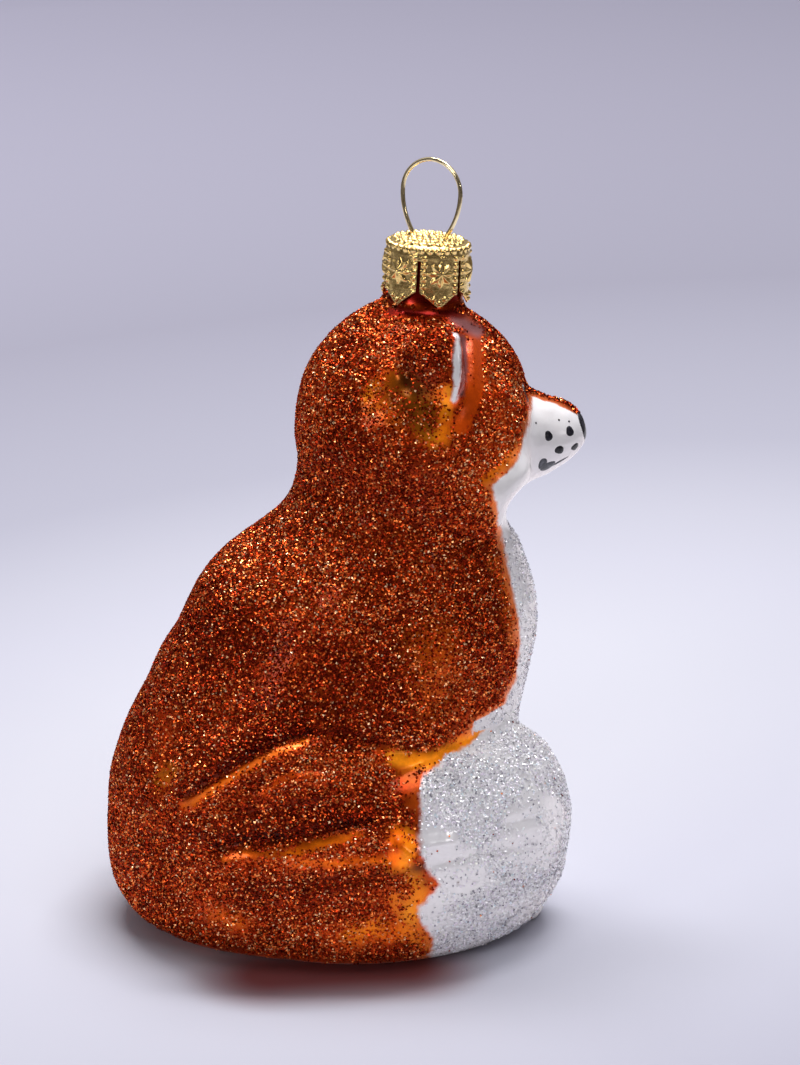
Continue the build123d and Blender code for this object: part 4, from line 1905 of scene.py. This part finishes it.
    def bend(self, bm: bmesh.types.BMesh, rows: list[Point], steps: int) -> None:
        """Bend the grid into the cap and press its pattern.

        Args:
            bm: The unbent cap.
            rows: Radius and height of each of its rows.
            steps: Count of its columns.
        """
        half_arc = self.half_turn(0.0) * self.radius
        for vert in bm.verts:
            petal, column = self.column(vert, steps)
            out, height = rows[round(-vert.co.z)]
            share = 2 * column / (self.columns - 1) - 1
            local = share * self.half_turn(-height)
            turn = self.first_petal + petal * tau / self.petals + local
            if height > -self.shoulder:
                flat = self.radius - self.shoulder
                bent = asin(min(1.0, max(0.0, (out - flat) / self.shoulder)))
                lift = self.crown_beads(min(out, flat) + bent * self.shoulder, turn)
                reach = out + lift * sin(bent)
                place = Vector((reach * cos(turn), reach * sin(turn), height + lift * cos(bent)))
            else:
                reach = out + self.pressed(local * self.radius, -height, half_arc)
                place = Vector((reach * cos(turn), reach * sin(turn), height))
            vert.co = place

    def pierce(self, bm: bmesh.types.BMesh) -> None:
        """Open the two holes that the wire passes.

        Args:
            bm: The bent cap.
        """
        for side in (-1, 1):
            middle = Vector((cos(self.hole_turn), sin(self.hole_turn), 0)) * self.hole_out * side
            upper = [v for v in bm.verts if v.co.z > -self.shoulder / 2]
            inner = [v for v in upper if (v.co.xy - middle.xy).length < self.hole_radius]
            rim = {w for v in inner for e in v.link_edges for w in e.verts} - set(inner)
            bmesh.ops.delete(bm, geom=inner, context="VERTS")
            for vert in rim:
                away = (vert.co.xy - middle.xy).normalized() * self.hole_radius
                vert.co = Vector((middle.x + away.x, middle.y + away.y, vert.co.z))


@dataclass
class Hanger:
    """The bent wire hanger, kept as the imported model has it."""

    node: str = "hanger_wire"
    tone: Colour = (0.86, 0.72, 0.44)
    dull: Colour = (0.40, 0.27, 0.12)
    gloss: float = 0.10
    grain: float = 0.004 * MM

    def build(self) -> None:
        """Give the wire its finish."""
        wire = frame["nodes"][self.node]
        wire.data.materials.clear()
        gilt = Gilt("wire_gilt", self.tone, self.dull, self.gloss, self.grain, 0.0)
        wire.data.materials.append(gilt.material())
        log.info("%s: %d faces on %s", wire.name, len(wire.data.polygons), Body.HANGER.value)


@dataclass
class Studio:
    """Pale floor, soft lamps and the light all round."""

    floor_radius: float = 3.0
    sky: Colour = (0.500, 0.482, 0.606)
    low_light: Colour = (0.10, 0.095, 0.11)
    high_light: Colour = (0.52, 0.52, 0.56)
    dark_side: Colour = (0.022, 0.016, 0.014)
    aim: Place = (0, 0, 0.045)
    lamps: tuple[tuple[str, Place, Point, float], ...] = (
        ("top", (0.21, -0.05, 0.84), (0.65, 0.18), 8.4),
        ("front", (-0.30, -0.15, 0.74), (0.36, 0.36), 1.8),
        ("left", (-0.52, 0.57, 0.28), (0.18, 0.18), 1.1),
        ("right", (-0.60, -0.45, 0.30), (0.06, 0.06), 0.30),
    )

    def build(self) -> None:
        """Make the floor, the world and the lamps."""
        self.make_floor()
        self.make_world()
        for lamp in self.lamps:
            self.make_lamp(*lamp)
        bpy.context.scene.view_settings.view_transform = "Standard"

    def make_floor(self) -> None:
        """Lay a wide disc of paper."""
        bm = bmesh.new()
        bmesh.ops.create_circle(bm, cap_ends=True, segments=96, radius=self.floor_radius)
        floor = object_of(bm, "studio_floor")
        floor.data.materials.append(Paper().material())

    def make_world(self) -> None:
        """Pale light from above, and a darker room towards the camera's side."""
        world = bpy.data.worlds.new("studio_world")
        bpy.context.scene.world = world
        world.use_nodes = True
        sheet = NodeSheet(world.node_tree)
        way = sheet.node("ShaderNodeTexCoord", output="Generated")
        east = sheet.node("ShaderNodeSeparateXYZ", sockets={0: way})
        up = east.other("Z")
        shade = (east * -1.0).rise(-0.40, 0.20) * (1.0 - up.rise(0.76, 1.0))
        lit = sheet.mix(up.rise(-0.1, 0.8), self.low_light, self.high_light)
        lit = sheet.mix(shade, lit, self.dark_side)
        rays = sheet.node("ShaderNodeLightPath", output="Is Camera Ray")
        shown = sheet.mix(rays, lit, self.sky)
        back = sheet.node("ShaderNodeBackground", sockets={"Color": shown, "Strength": 1.0})
        sheet.node("ShaderNodeOutputWorld", sockets={"Surface": back})

    def make_lamp(self, name: str, place: Place, sides: Point, power: float) -> None:
        """Hang a soft lamp that faces the figure.

        Args:
            name: The lamp's name.
            place: Its place.
            sides: Its two sides.
            power: Its power in watts.
        """
        data = bpy.data.lights.new(name, "AREA")
        data.shape = "RECTANGLE"
        data.size, data.size_y = sides
        data.energy = power
        lamp = new_object(name, data)
        lamp.location = place
        lamp.rotation_euler = (Vector(self.aim) - Vector(place)).to_track_quat("-Z", "Y").to_euler()


def corners(box: tuple[Vector, Vector]) -> list[list[float]]:
    """Two corners as plain lists."""
    return [list(corner) for corner in box]


def main() -> None:
    """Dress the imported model."""
    logging.basicConfig(level=logging.INFO, format="%(name)s: %(message)s")
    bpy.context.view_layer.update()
    VIEW.build()
    fox = GlassFox()
    fox.build_skin()
    fox.paint()
    Glitter(fox.skin).build()
    Face(fox.skin).build()
    fox.close()
    bpy.data.objects.remove(fox.skin)
    CrownCap().build()
    Hanger().build()
    Studio().build()


if __name__ == "__main__":
    main()
